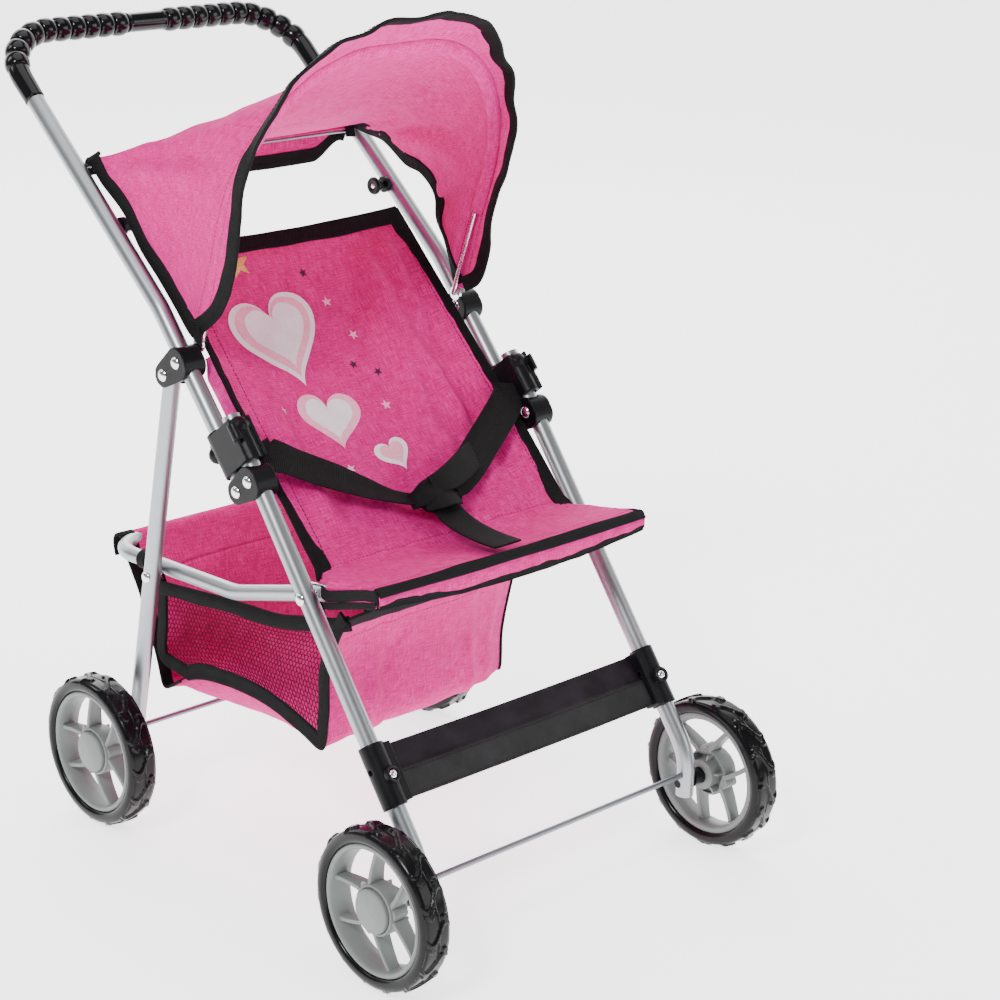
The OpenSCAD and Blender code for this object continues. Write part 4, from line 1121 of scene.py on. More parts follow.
    # stitching on the tapes and along the crease
    st = Build()
    for col, sg in ((0, 1), (-1, -1)):
        e = SEAT[i0:, col] + np.array([sg * 9.6, 0, 0]); n = SEAT_N[i0:, col]
        stitches(st, e + n * 1.38, n, None, 0, 3.4, 2.3, 0.28, SEAT_W[i0:, 0])
    inr = SEAT[-1] + (SEAT[-3] - SEAT[-1]) / np.linalg.norm(SEAT[-3] - SEAT[-1], axis=1)[:, None] * 10.6
    stitches(st, inr + SEAT_N[-1] * 1.5, SEAT_N[-1], None, 0, 3.4, 2.3, 0.28, np.ones(len(inr)))
    so = st.obj("seat_tape_stitching", [BTHREAD], True, None)
    blended(so, "front_frame", "handle", st.weights(), (0, -0.05, 0.26), (0, 0.0, 0.31))
    sp = Build()
    ic = int(np.searchsorted(s_rows, s_crease + 4))
    for row in (ic, int(np.searchsorted(s_rows, 22))):
        e = SEAT[row, 3:-3]; n = SEAT_N[row, 3:-3]
        stitches(sp, e + n * 0.55, n, None, 0, 3.2, 2.2, 0.26, np.zeros(len(e)))
    s2 = sp.obj("seat_seam_stitching", [THREAD], True, None)
    put(s2, "front_frame", ())
    return o


seat_obj = seat()


# ------------------------------------------------------------------ printed shapes on the seat back: a heart pair and five-pointed stars
def on_seat(u, v):
    """u across in mm from the middle, v up the back in mm from the crease; a point just above the cloth."""
    s = s_crease + v
    hw = float(seat_half(s))
    q = u / hw
    i = np.clip(np.searchsorted(s_rows, s) - 1, 0, len(s_rows) - 2)
    fs = (s - s_rows[i]) / (s_rows[i + 1] - s_rows[i])
    j = int(np.clip(np.searchsorted(q_cols, q) - 1, 0, len(q_cols) - 2)); fj = (q - q_cols[j]) / (q_cols[j + 1] - q_cols[j])
    def bl(A):
        return (A[i, j] * (1 - fs) * (1 - fj) + A[i + 1, j] * fs * (1 - fj) + A[i, j + 1] * (1 - fs) * fj + A[i + 1, j + 1] * fs * fj)
    return bl(SEAT), unit(bl(SEAT_N)), seat_weight(s)


def patch(b, outline, mat, lift=0.62, rings=7):
    """A printed shape: outline in (u, v), filled with rings towards its middle, laid on the cloth."""
    o = np.array(outline, float); c = o.mean(0); n = len(o)
    pts, w, uv = [], [], []
    for k in range(rings):
        f = 1 - k / rings
        for p in o:
            x = c + (p - c) * f
            P_, N_, W_ = on_seat(*x)
            pts.append(P_ + N_ * lift); w.append(W_); uv.append(x * K)
    P_, N_, W_ = on_seat(*c)
    pts.append(P_ + N_ * lift); w.append(W_); uv.append(c * K)
    f = []
    for k in range(rings - 1):
        for i in range(n):
            j = (i + 1) % n
            f.append((k * n + i, k * n + j, (k + 1) * n + j, (k + 1) * n + i))
    for i in range(n):
        f.append(((rings - 1) * n + i, (rings - 1) * n + (i + 1) % n, rings * n))
    b.add(pts, f, mat, uv, w)


def heart(cu, cv, size, tilt=0.0, n=64):
    out = []
    for i in range(n):
        t = 2 * math.pi * i / n
        x = 16 * math.sin(t) ** 3 / 17 * size / 2
        y = (13 * math.cos(t) - 5 * math.cos(2 * t) - 2 * math.cos(3 * t) - math.cos(4 * t)) / 17 * size / 2
        a = math.radians(tilt)
        out.append((cu + x * math.cos(a) - y * math.sin(a), cv + x * math.sin(a) + y * math.cos(a)))
    return out


def star(cu, cv, size, tilt=0.0, inner=0.42):
    out = []
    for i in range(10):
        r = size / 2 * (1 if i % 2 == 0 else inner)
        a = math.radians(90 + tilt + i * 36)
        a2 = math.radians(90 + tilt + (i + 1) * 36)
        r2 = size / 2 * (inner if i % 2 == 0 else 1)
        for f in (0, 1 / 3, 2 / 3):
            out.append((cu + (r * math.cos(a) * (1 - f) + r2 * math.cos(a2) * f), cv + (r * math.sin(a) * (1 - f) + r2 * math.sin(a2) * f)))
    return out


def prints():
    b = Build()
    patch(b, heart(-40, 180, 82, 6), 0, 0.85, 14)
    patch(b, heart(-39.5, 180.8, 71, 6), 1, 1.05, 13)
    patch(b, heart(-39, 182.0, 56, 6), 0, 1.25, 11)
    patch(b, heart(-30, 112, 54, -10), 1, 0.85, 10)
    patch(b, heart(-30, 113, 40, -10), 0, 1.05, 8)
    patch(b, heart(2, 74, 30, 8), 0, 0.85, 7)
    patch(b, heart(2, 74.6, 21, 8), 1, 1.05, 5)
    patch(b, star(-48, 236, 22, 5), 3, 0.90, 5)
    for u, v, sz, ti, m in ((4, 222, 7.5, 10, 2), (14, 198, 8.5, -8, 1), (24, 170, 8.5, 14, 1), (12, 148, 7.0, 4, 2), (28, 138, 7.0, 20, 2), (20, 112, 9.0, -6, 1), (-70, 122, 8.0, 12, 1), (-66, 88, 7.0, 8, 3), (-40, 70, 8.0, 3, 1)):
        patch(b, star(u, v, sz, ti), m, 0.88, 3)
    o = b.obj("seat_print", [PRINT_W, PRINT_P, PRINT_D, PRINT_G], True, None)
    blended(o, "front_frame", "handle", b.weights(), (0, -0.05, 0.26), (0, 0.0, 0.31))


prints()


# ------------------------------------------------------------------ harness
def strap(b, pts, sides, widths, t=1.3, mat=0, n=90, curl=None):
    p = catmull(pts, n)
    L = np.linspace(0, 1, n)
    k = np.linspace(0, 1, len(pts))
    d = np.concatenate([[0], np.cumsum(np.linalg.norm(np.diff(np.asarray(pts, float), axis=0), axis=1))]); k = d / d[-1]
    sd = np.stack([np.interp(L, k, np.asarray(sides, float)[:, i]) for i in range(3)], 1)
    tan = tangents(p)
    sd = sd - (sd * tan).sum(1)[:, None] * tan
    sd /= np.linalg.norm(sd, axis=1)[:, None]
    up = np.cross(tan, sd)
    w = np.interp(L, k, widths)
    prof = []
    for i in range(n):
        f = flat_prof(w[i], t, 4)
        c = 0.0 if curl is None else float(np.interp(L[i], k, curl))
        f[:, 1] += c * ((f[:, 0] / 12.0) ** 2)
        prof.append(f)
    sweep(b, p, np.array(prof), sd, up, mat)
    return p, sd, up


def harness():
    for s, k in ((-1, "right"), (1, "left")):
        b = Build()
        e = 1 if s > 0 else 0
        # waist strap: flat where it leaves the seat's edge, turned and gathered towards the buckle
        pts = [[s * 113.5, -27, 308], [s * 111, -31, 303.0], [s * 100, -38.5, 297], [s * 86, -44.5, 289.5], [s * 66, -53, 280], [s * 46, -61.5, 270.5], [s * 28, -68, 263.0], [s * 14, -71.5, 259.6], [s * 7, -72.6, 259.2]]
        if s < 0:
            sides = [[0.1, 0.72, 0.7]] * 2 + [[0.14, 0.74, 0.68], [0.16, 0.76, 0.66], [0.16, 0.80, 0.6], [0.12, 0.86, 0.5], [0.05, 0.92, 0.38], [0, 0.9, 0.44], [0, 0.9, 0.44]]
            widths = [25, 25, 25, 25, 24.5, 21, 15, 11, 10]
        else:
            sides = [[-0.35, 0.68, 0.66]] * 2 + [[-0.4, 0.66, 0.62], [-0.42, 0.64, 0.62], [-0.42, 0.62, 0.64], [-0.36, 0.66, 0.66], [-0.26, 0.74, 0.62], [-0.1, 0.84, 0.52], [0, 0.88, 0.46]]
            widths = [25, 25, 25, 25, 25, 25, 22, 16, 13]
        strap(b, pts, sides, widths, 1.35, 0, 110, [0.3, 0.3, 0.6, 1.0, 1.2, 1.6, 2.2, 2.0, 1.5])
        o = b.obj(f"waist_strap_{k}_web", [WEB], True, 50)
        put(o, "front_frame", [f"waist_strap_{k}"])
    b = Build()
    # crotch strap from under the buckle down to the seat's front edge
    pts = [[2, -69.5, 259.0], [2.5, -78, 256.0], [2, -86, 252.6], [1, -96, 249.2], [0, -108, 247.2], [-1, -124, 246.2], [-1.5, -138, 246.4], [-1.5, -149.5, 246.9]]
    strap(b, pts, [[1, 0.1, 0]] * 8, [15, 23, 25, 25, 25, 25, 25, 25], 1.35, 0, 90, [1.5, 1.2, .8, .6, .5, .4, .3, .2])
    o = b.obj("crotch_strap_web", [WEB], True, 50)
    put(o, "front_frame", ["crotch_strap"])
    # the gathered buckle: a loop round the crotch strap, folded strap ends and the tongue that sticks out
    b = Build()
    for dy, rr, tt in ((0.0, 1.0, 1.7), (5.0, 1.08, 1.9), (9.5, 0.98, 1.7)):
        pts = []
        for i in range(40):
            a = 2 * math.pi * i / 40
            pts.append((2.5 + 15.5 * math.cos(a) * rr, -74.5 - dy * 0.75 + 2.2 * math.sin(a), 260.2 - dy * 0.30 + 6.4 * math.sin(a) * rr + 0.8 * math.sin(3 * a + dy)))
        pts = np.array(pts)
        side, upv = carry(pts, (1, 0, 0), True)
        sweep(b, pts, flat_prof(4.6, tt, 4), side, upv, 0, False, True)
    strap(b, [[20, -66, 263.6], [12, -72.5, 266.4], [2, -76.5, 268.2], [-8, -77.5, 266.4], [-15, -76.0, 262.2], [-19, -71.8, 258.6]], [[0, 0.72, 0.70], [0, 0.8, 0.6], [0.1, 0.85, 0.5], [0, 0.8, 0.6], [0, 0.75, 0.66], [0, 0.7, 0.7]], [15, 17, 18, 17, 14, 11], 1.5, 0, 60, [1.8] * 6)
    strap(b, [[14, -84, 259.0], [5, -86.5, 261.8], [-5, -85.5, 261.0], [-13, -80.5, 257.8]], [[0.2, 0.85, 0.5]] * 4, [12, 14, 14, 11], 1.5, 0, 40, [1.5] * 4)
    strap(b, [[-4, -76.5, 268.8], [8, -77.0, 270.9], [20, -74.5, 273.2], [32, -70.0, 275.6], [42, -65.0, 276.6], [49, -61.5, 276.2]], [[0.0, 0.62, 0.79], [0, 0.62, 0.79], [0.05, 0.6, 0.8], [0.08, 0.6, 0.8], [0.1, 0.6, 0.8], [0.1, 0.6, 0.8]], [13, 17, 19, 20, 20, 20], 1.7, 0, 60, [1.2, 1.0, .5, .3, 0.1, 0])
    o = b.obj("harness_loop", [WEB], True, 50)
    put(o, "front_frame", ["strap_loop"])


harness()

# ------------------------------------------------------------------ hood: one continuous sheet from the rod over the bow to the brim
NC, NR, NV = 121, 30, 15
brim_ctrl = [(-118, 30.8, 370.4), (-119.5, 8.9, 387.3), (-121, -2.9, 403.2), (-122, -12.5, 424.4), (-122, -15.3, 442.7), (-122, -17.4, 457), (-122, -21, 475.6), (-122, -26.6, 489.6), (-121.5, -35.3, 506.5), (-119.5, -44.9, 522.8), (-116, -53.0, 537.3), (-110, -58.2, 549.9), (-100, -63.4, 559.7), (-85, -66.7, 569.1), (-55, -69.7, 580.2), (-30, -70.5, 584), (0, -69, 584.7), (25, -65.3, 581), (50, -60.2, 572.4), (70, -52.6, 559.8), (85, -44.1, 543.9), (95, -39.9, 528.9), (103, -33.5, 514.9), (105, -33.4, 496.5), (105.5, -27, 464.3), (105.5, -18.8, 448.7), (107, -10.6, 423.3), (109, -8.1, 410.2), (112, -2.8, 397.6), (115, 7.7, 376.3), (117.5, 24, 366.5)]
back_ctrl = [(-118, 37, 367.5), (-118, 43.3, 372.1), (-118, 54.9, 383.4), (-118, 74.6, 400.7), (-118, 93.4, 415.7), (-118, 112.5, 437.5), (-118, 138, 454), (-117.6, 150.5, 464.2), (-117, 155.6, 466.6), (-108, 156.4, 466.2), (-60, 156.2, 465.6), (0, 156.0, 465.4), (60, 156.2, 465.5), (108, 156.4, 465.8), (117, 154.0, 466.2), (117.6, 146.5, 464.8), (118, 132.5, 462.8), (118, 119.3, 461.3), (118, 107.7, 455.9), (118, 92, 446.9), (118, 74.6, 443.2), (118, 59.1, 429.2), (118, 57.2, 412.9), (118, 48.2, 398.6), (118, 40, 379.1), (118, 36, 367.5)]


def fillet(pts, rads, m=30):
    out = [np.array(pts[0], float)]
    for i in range(1, len(pts) - 1):
        a, c, e = (np.array(pts[i + q], float) for q in (-1, 0, 1))
        u, v = unit(a - c), unit(e - c)
        th = math.acos(np.clip(u @ v, -1, 1)); tl = rads[i] / math.tan(th / 2)
        ctr = c + unit(u + v) * (rads[i] / math.sin(th / 2))
        p0, p1 = c + u * tl, c + v * tl
        for j in range(m + 1):
            q = p0 * (1 - j / m) + p1 * (j / m)
            out.append(ctr + unit(q - ctr) * rads[i])
    out.append(np.array(pts[-1], float))
    return resample(np.array(out), 900)


LEAN = math.radians(17.5)


def inbow(x, h):
    return (x, 33.3 - h * math.sin(LEAN), 362.0 + h * math.cos(LEAN))


wire = fillet([inbow(-113.2, 0), inbow(-115.5, 128), inbow(-68, 202), inbow(68, 202), inbow(115.5, 128), inbow(113.2, 0)], [0, 110, 88, 88, 110, 0])


def bow_curve(n):
    ax = np.array([0, math.cos(LEAN), math.sin(LEAN)])
    t = tangents(wire)
    out = np.cross(t, ax); out /= np.linalg.norm(out, axis=1)[:, None]
    out *= np.sign((out * (wire - np.array([0, 33.3 - 90 * math.sin(LEAN), 362 + 90 * math.cos(LEAN)]))).sum(1))[:, None]
    p = wire + out * 2.3
    h = (wire[:, 2] - 362.0) / math.cos(LEAN)
    low = 1 - smooth01(h / 60.0)
    p[:, 0] = p[:, 0] * (1 - low) + np.sign(p[:, 0]) * 118.3 * low
    return resample(p[h > 4.6], n)


def warp(p, n, marks):
    """Resamples p so that its marks (fractions of its own length) fall on the same share of columns."""
    d = np.concatenate([[0], np.cumsum(np.linalg.norm(np.diff(p, axis=0), axis=1))]); d /= d[-1]
    a, c = zip(*marks)
    s = np.interp(np.linspace(0, 1, n), c, a)
    return np.stack([np.interp(s, d, p[:, k]) for k in range(3)], 1)


back_raw, brim_raw, bow_raw = catmull(back_ctrl, 900), catmull(brim_ctrl, 900), bow_curve(900)


def frac(p, f):
    d = np.concatenate([[0], np.cumsum(np.linalg.norm(np.diff(p, axis=0), axis=1))])
    return float(d[f] / d[-1])


b_l, b_r = frac(back_raw, int(np.argmin(np.abs(back_raw[:450, 0] + 112)) if False else np.argmax(back_raw[:450, 2]))), frac(back_raw, 450 + int(np.argmax(back_raw[450:, 2])))
w_l, w_r = 0.315, 0.685
back_c = warp(back_raw, NC, [(0, 0), (b_l, 0.30), (b_r, 0.70), (1, 1)])
bow_c = warp(bow_raw, NC, [(0, 0), (w_l, 0.30), (w_r, 0.70), (1, 1)])
brim_c = warp(brim_raw, NC, [(0, 0), (0.335, 0.30), (0.70, 0.70), (1, 1)])

lean_dir = np.array([0, -math.sin(math.radians(17.5)), math.cos(math.radians(17.5))])
fwd = np.array([0, -math.cos(math.radians(17.5)), -math.sin(math.radians(17.5))])
cu = np.linspace(0, 1, NC)
hub_pt = np.array([0, 60.0, 400.0])


def hood_grid():
    tr_ = np.concatenate([np.linspace(0, 0.90, NR - 6, endpoint=False), np.linspace(0.90, 1.0, 7)])
    tv_ = np.concatenate([np.linspace(0, 0.22, 7)[1:], np.linspace(0.22, 1.0, NV - 5)[1:]])
    rows, wts, sv = [], [], []
    top_w = smooth01((cu - 0.22) / 0.12) * smooth01((0.78 - cu) / 0.12)      # 1 on the roof's flat part
    side_w = 1 - top_w
    for t in tr_:
        p = back_c * (1 - t) + bow_c * t
        sag = math.sin(math.pi * t ** 0.72)
        out = p - hub_pt; out[:, 1] *= 0.3
        out /= np.linalg.norm(out, axis=1)[:, None]
        p = p + np.array([0, 0, -1.0]) * (8.5 * sag * top_w * (0.55 + 0.45 * np.sin(np.pi * np.clip((cu - 0.3) / 0.4, 0, 1))))[:, None]
        p = p - np.sign(p[:, :1]) * np.array([1, 0, 0]) * (3.0 * math.sin(math.pi * t) * side_w * smooth01(cu / 0.06) * smooth01((1 - cu) / 0.06))[:, None]
        # soft folds from the rod's ends towards the bow
        for c0, c1, amp, wd in ((0.30, 0.36, 2.4, 0.020), (0.27, 0.20, 1.8, 0.016), (0.33, 0.46, 1.7, 0.028), (0.70, 0.62, 2.2, 0.022), (0.73, 0.79, 1.8, 0.018), (0.68, 0.52, 1.6, 0.026), (0.90, 0.84, 1.5, 0.016)):
            c = c0 + (c1 - c0) * t
            g = np.exp(-((cu - c) / (wd * (0.6 + 0.9 * t))) ** 2) - 0.6 * np.exp(-((cu - c - 2.1 * wd) / (wd * (0.7 + t))) ** 2)
            p = p + out * (2.2 * amp * math.sin(math.pi * min(1, t * 1.15)) * g)[:, None]
        nz = np.array([fbm(q[0] * 0.017 + 3, q[1] * 0.017, q[2] * 0.017) for q in p]) * 3.6 + np.array([fbm(q[0] * 0.06, q[1] * 0.05, q[2] * 0.05, 2) for q in p]) * 1.1
        p = p + out * (nz * math.sin(math.pi * t) * smooth01(cu / 0.05) * smooth01((1 - cu) / 0.05))[:, None]
        # the sleeve over the wire
        dist = (1 - t) * np.linalg.norm(back_c - bow_c, axis=1)
        outw = bow_c - np.array([0, 33.3, 362.0]); outw -= (outw @ fwd)[:, None] * fwd; outw /= np.linalg.norm(outw, axis=1)[:, None]
        bump = 1.25 * np.exp(-(dist / 3.4) ** 4)
        top_only = smooth01((np.abs(outw[:, 2])) / 0.25)
        p = p + outw * (bump * top_only)[:, None]
        rows.append(p); wts.append(np.full(NC, t)); sv.append(t)
    for t in tv_:
        p = bow_c * (1 - t) + brim_c * t
        outw = bow_c - np.array([0, 33.3, 362.0]); outw -= (outw @ fwd)[:, None] * fwd; outw /= np.linalg.norm(outw, axis=1)[:, None]
        bulge = 3.6 * math.sin(math.pi * t) * np.clip(np.sin(np.pi * cu), 0, 1)
        dist = t * np.linalg.norm(brim_c - bow_c, axis=1)
        bump = 1.25 * np.exp(-(dist / 3.4) ** 4) * smooth01((np.abs(outw[:, 2])) / 0.25)
        p = p + outw * (bulge + bump)[:, None]
        nz = np.array([fbm(q[0] * 0.02 + 9, q[1] * 0.02, q[2] * 0.02) for q in p]) * 3.4
        ridg = np.sin(cu * 58 + 2.2 * np.sin(cu * 17)) * 1.7 * smooth01((cu - 0.3) / 0.1) + np.sin(cu * 41) * 0.6
        p = p + outw * ((nz + ridg) * math.sin(math.pi * min(1, t * 1.05) * 0.62) * smooth01(cu / 0.06) * smooth01((1 - cu) / 0.06))[:, None]
        rows.append(p); wts.append(np.ones(NC)); sv.append(1 + t)
    G = np.array(rows)
    # stay inside the tubes beside it
    low = G[..., 2] < 470
    roofy = np.array(sv)[:, None] <= 1.0
    lim = np.where(low & roofy, 118.4, 124.0)
    # beside the wire the sheet stays outside it
    for r, sv_ in enumerate(sv):
        if abs(sv_ - 1.0) < 0.35:
            near_w = np.linalg.norm(G[r] - bow_c, axis=1)
            k_ = 1 - smooth01((near_w - 5.0) / 8.0)
            leg = (bow_c[:, 2] < 520) & (bow_c[:, 2] > 366)
            need = np.abs(bow_c[:, 0]) - 0.1
            push = np.where(leg & (np.abs(G[r, :, 0]) < need), (need - np.abs(G[r, :, 0])) * k_, 0)
            G[r, :, 0] += np.sign(G[r, :, 0]) * push
    G[..., 0] = np.clip(G[..., 0], -lim, lim)
    return G, np.array(wts), np.array(sv)


HOOD, HOOD_W, HOOD_S = hood_grid()
H_DU = np.concatenate([[0], np.cumsum(np.linalg.norm(np.diff(HOOD[:, NC // 2], axis=0), axis=1))])
H_DV = np.concatenate([[0], np.cumsum(np.linalg.norm(np.diff(bow_c, axis=0), axis=1))])
HOOD_UV = np.stack(np.meshgrid(H_DV * K, H_DU * K), -1)
hn = seat_normals(HOOD)
if hn[8, NC // 2, 2] < 0:
    hn = -hn
HOOD_N = hn


def hood_blend(o, b):
    blended(o, "handle", "hood_bow", b.weights(), (0, 0.15, 0.46), (0, -0.03, 0.56))


def hood():
    b = Build()
    du, dv = np.gradient(HOOD, axis=0), np.gradient(HOOD, axis=1)
    nn = np.cross(du, dv)
    flip = nn[8, NC // 2, 2] < 0
    # outer face pink weave, inner face the lighter pink copy: painted backlight through the hood cloth
    shell(b, HOOD, 1.0, 0, 1, HOOD_UV, HOOD_W, flip=flip)
    o = b.obj("hood_cloth", [PINK, PINK_BACKLIT], True, None)
    hood_blend(o, b)
    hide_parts("canopy_roof", "canopy_visor")
    # tape on the brim
    t = Build()
    def tape(edge, nxt, nrm, w, width, th, over, seed, wave=0.4):
        tan = tangents(edge)
        inw = nxt - edge; inw -= (inw * tan).sum(1)[:, None] * tan; inw /= np.maximum(1e-6, np.linalg.norm(inw, axis=1))[:, None]
        n2 = np.cross(tan, inw); n2 *= np.sign((n2 * nrm).sum(1).mean())
        binding(t, edge, inw, n2, width, th, over, 0, w, wave_amp=wave, seed=seed)
        return inw, n2
    e = resample(HOOD[-1], 300); nx = resample(HOOD[-4], 300); nr = resample(HOOD_N[-1], 300)
    inw, n2 = tape(e, nx, nr, np.ones(300), 9.6, 1.3, 0.9, 21, 0.5)
    # tapes on the two side edges, from the low corner up to the rod's end
    iL, iR = int(round(0.30 * (NC - 1))), int(round(0.70 * (NC - 1)))
    for sl, sd in ((slice(0, iL + 1), 22), (slice(NC - 1, iR - 1, -1), 23)):
        e2 = resample(HOOD[0, sl], 130); nx2 = resample(HOOD[3, sl], 130); nr2 = resample(HOOD_N[0, sl], 130)
        tape(e2, nx2, nr2, np.zeros(130), 9.0, 1.05, 0.6, sd, 0.2)
    o2 = t.obj("hood_binding", [BIND], True, 60)
    hood_blend(o2, t)
    # stitching: on the brim's tape and both sides of the wire's sleeve
    st = Build()
    p = e + inw * 8.3 + n2 * 1.25
    stitches(st, p, n2, None, 0, 3.3, 2.2, 0.26, np.ones(300))
    so = st.obj("hood_tape_stitching", [BTHREAD], True, None); hood_blend(so, st)
    sp = Build()
    i_bow = int(np.argmin(np.abs(HOOD_S - 1.0)))
    for dd in (-6.2, 6.2):
        pts, ns, ws = [], [], []
        for j in range(4, NC - 4):
            col = HOOD[:, j]; d = np.concatenate([[0], np.cumsum(np.linalg.norm(np.diff(col, axis=0), axis=1))])
            d0 = d[i_bow] + dd
            if d0 < 0 or d0 > d[-1] - 10:
                continue
            pts.append([np.interp(d0, d, col[:, k]) for k in range(3)]); ns.append([np.interp(d0, d, HOOD_N[:, j, k]) for k in range(3)]); ws.append(np.interp(d0, d, HOOD_W[:, j]))
        pts, ns = np.array(pts), np.array(ns); ns /= np.linalg.norm(ns, axis=1)[:, None]
        for sg in (1, -1):
            stitches(sp, pts + ns * 0.5 * sg, ns, None, 0, 3.2, 2.3, 0.24, np.array(ws))
    s2 = sp.obj("hood_sleeve_stitching", [THREAD], True, None); hood_blend(s2, sp)
    # the wire's sleeve, on the inside: over the wire from the near end to a little above the far end
    sl = Build(); rows = []
    wl = np.concatenate([[0], np.cumsum(np.linalg.norm(np.diff(wire, axis=0), axis=1))])
    inner_s = 1 if (HOOD_N[i_bow, NC // 2] @ lean_dir) > 0 else -1
    cols = [j for j in range(3, NC - 1) if bow_c[j, 2] > (384 if bow_c[j, 0] < 0 else 424)]
    for j in cols:
        col = HOOD[:, j]; d = np.concatenate([[0], np.cumsum(np.linalg.norm(np.diff(col, axis=0), axis=1))])
        def hp(dd):
            return np.array([np.interp(d[i_bow] + dd, d, col[:, k_]) for k_ in range(3)]), unit([np.interp(d[i_bow] + dd, d, HOOD_N[:, j, k_]) for k_ in range(3)])
        (pa, na), (pc, nc_), (pm, nm) = hp(-7.2), hp(7.2), hp(0)
        w0 = wire[int(np.argmin(np.linalg.norm(wire - bow_c[j], axis=1)))]
        o_ = unit(pm - w0)
        pa, pc = pa - na * 0.75, pc - nc_ * 0.75
        row = [pa, pa * 0.45 + (w0 - fwd * 2.6 - o_ * 0.9) * 0.55 - o_ * 0.3]
        for an in (-80, -50, -20, 20, 50, 80):
            ra = math.radians(an)
            row.append(w0 - o_ * 2.7 * math.cos(ra) + fwd * 2.7 * math.sin(ra))
        row += [pc * 0.45 + (w0 + fwd * 2.6 - o_ * 0.9) * 0.55 - o_ * 0.3, pc]
        rows.append(row)
    R = np.array(rows)
    for _ in range(2):
        R[1:-1] = 0.25 * R[:-2] + 0.5 * R[1:-1] + 0.25 * R[2:]
    jit = np.array([[noise.noise(Vector((j * 0.35, k_ * 0.2, 2.0))) * 0.35 for k_ in range(10)] for j in range(len(rows))])
    R -= np.array([unit(bow_c[j] - np.array([0, 33.3, 430.0])) for j in cols])[:, None, :] * np.abs(jit)[..., None]
    shell(sl, R, 0.7, 0, 0, None, np.ones((len(rows), 10)))
    # the sleeve takes the lighter pink copy: painted backlight through the cloth
    slo = sl.obj("hood_sleeve", [PINK_BACKLIT], True, None); hood_blend(slo, sl)


hood()


def hood_flap():
    # back flap: from over the rod down behind it
    prof = catmull([(0, 150.9, 464.3), (0, 152.6, 465.6), (0, 155.4, 465.9), (0, 157.4, 464.3), (0, 158.0, 460.5), (0, 158.6, 452), (0, 158.2, 443.2)], 26)
    xs = np.linspace(-111, 111, 100)
    G = np.zeros((26, 100, 3))
    for i, q in enumerate(prof):
        f = i / 25
        for j, x in enumerate(xs):
            wv = 1.2 * math.sin(x * 0.06 + 1) * f ** 2 + 1.0 * fbm(x * 0.03, f * 0.7, 3.0) * f
            hs = 1 - 0.62 * float(smooth01((abs(x) - 84) / 26))
            G[i, j] = (x * (1 - 0.004 * f), q[1] + max(wv, -0.6) * hs, q[2] + (464.3 - q[2]) * (1 - hs) * float(smooth01(f / 0.3)) - 0.8 * math.sin(math.pi * (x + 111) / 222) * f)
    b = Build()
    shell(b, G, 1.0, 0, 0)
    o = b.obj("hood_flap", [PINK], True, None)
    put(o, "handle", ["canopy_back_flap"])
    t = Build()
    e = G[-1]; tan = tangents(e); inw = G[-3] - G[-1]; inw /= np.linalg.norm(inw, axis=1)[:, None]
    n = np.cross(tan, inw)
    binding(t, e, inw, n, 9.0, 1.3, 0.8, 0, seed=31)
    # tabs that fold round the rod's ends
    for s in (-1, 1):
        pts = [(s * 112.5, 149.0, 458.5), (s * 113, 150.4, 463.5), (s * 113, 153.4, 467.2), (s * 113, 157.0, 466.8), (s * 113, 159.4, 463.4), (s * 112.5, 159.7, 459.0), (s * 111.0, 159.5, 454.5)]
        strap(t, pts, [[1, 0, 0]] * len(pts), [8.5] * 4 + [8.5, 8.5, 7], 1.3, 0, 60)
    o2 = t.obj("hood_flap_binding", [BIND], True, 60)
    put(o2, "handle", ())


hood_flap()


def stud_caps():
    b = Build()
    for s in (-1, 1):
        o = (s * 0.0, stud[0], stud[1])
        prof = [(2.6, 106.2), (4.4, 105.7), (5.9, 105.9), (6.5, 106.9), (6.5, 108.4), (5.6, 109.2), (3.4, 109.6), (2.6, 108.6)]
        lathe(b, [(r, s * x) for r, x in prof], 48, 0, origin=o)
        dome = [(0.02, 105.6), (1.1, 105.75), (1.9, 106.2), (2.3, 106.9), (2.3, 107.6), (0.02, 107.6)]
        lathe(b, [(r, s * x) for r, x in dome], 32, 1, origin=o)
    o = b.obj("seat_stud_caps", [BLACK, STEEL], True, 50)
    put(o, "handle", ())


stud_caps()

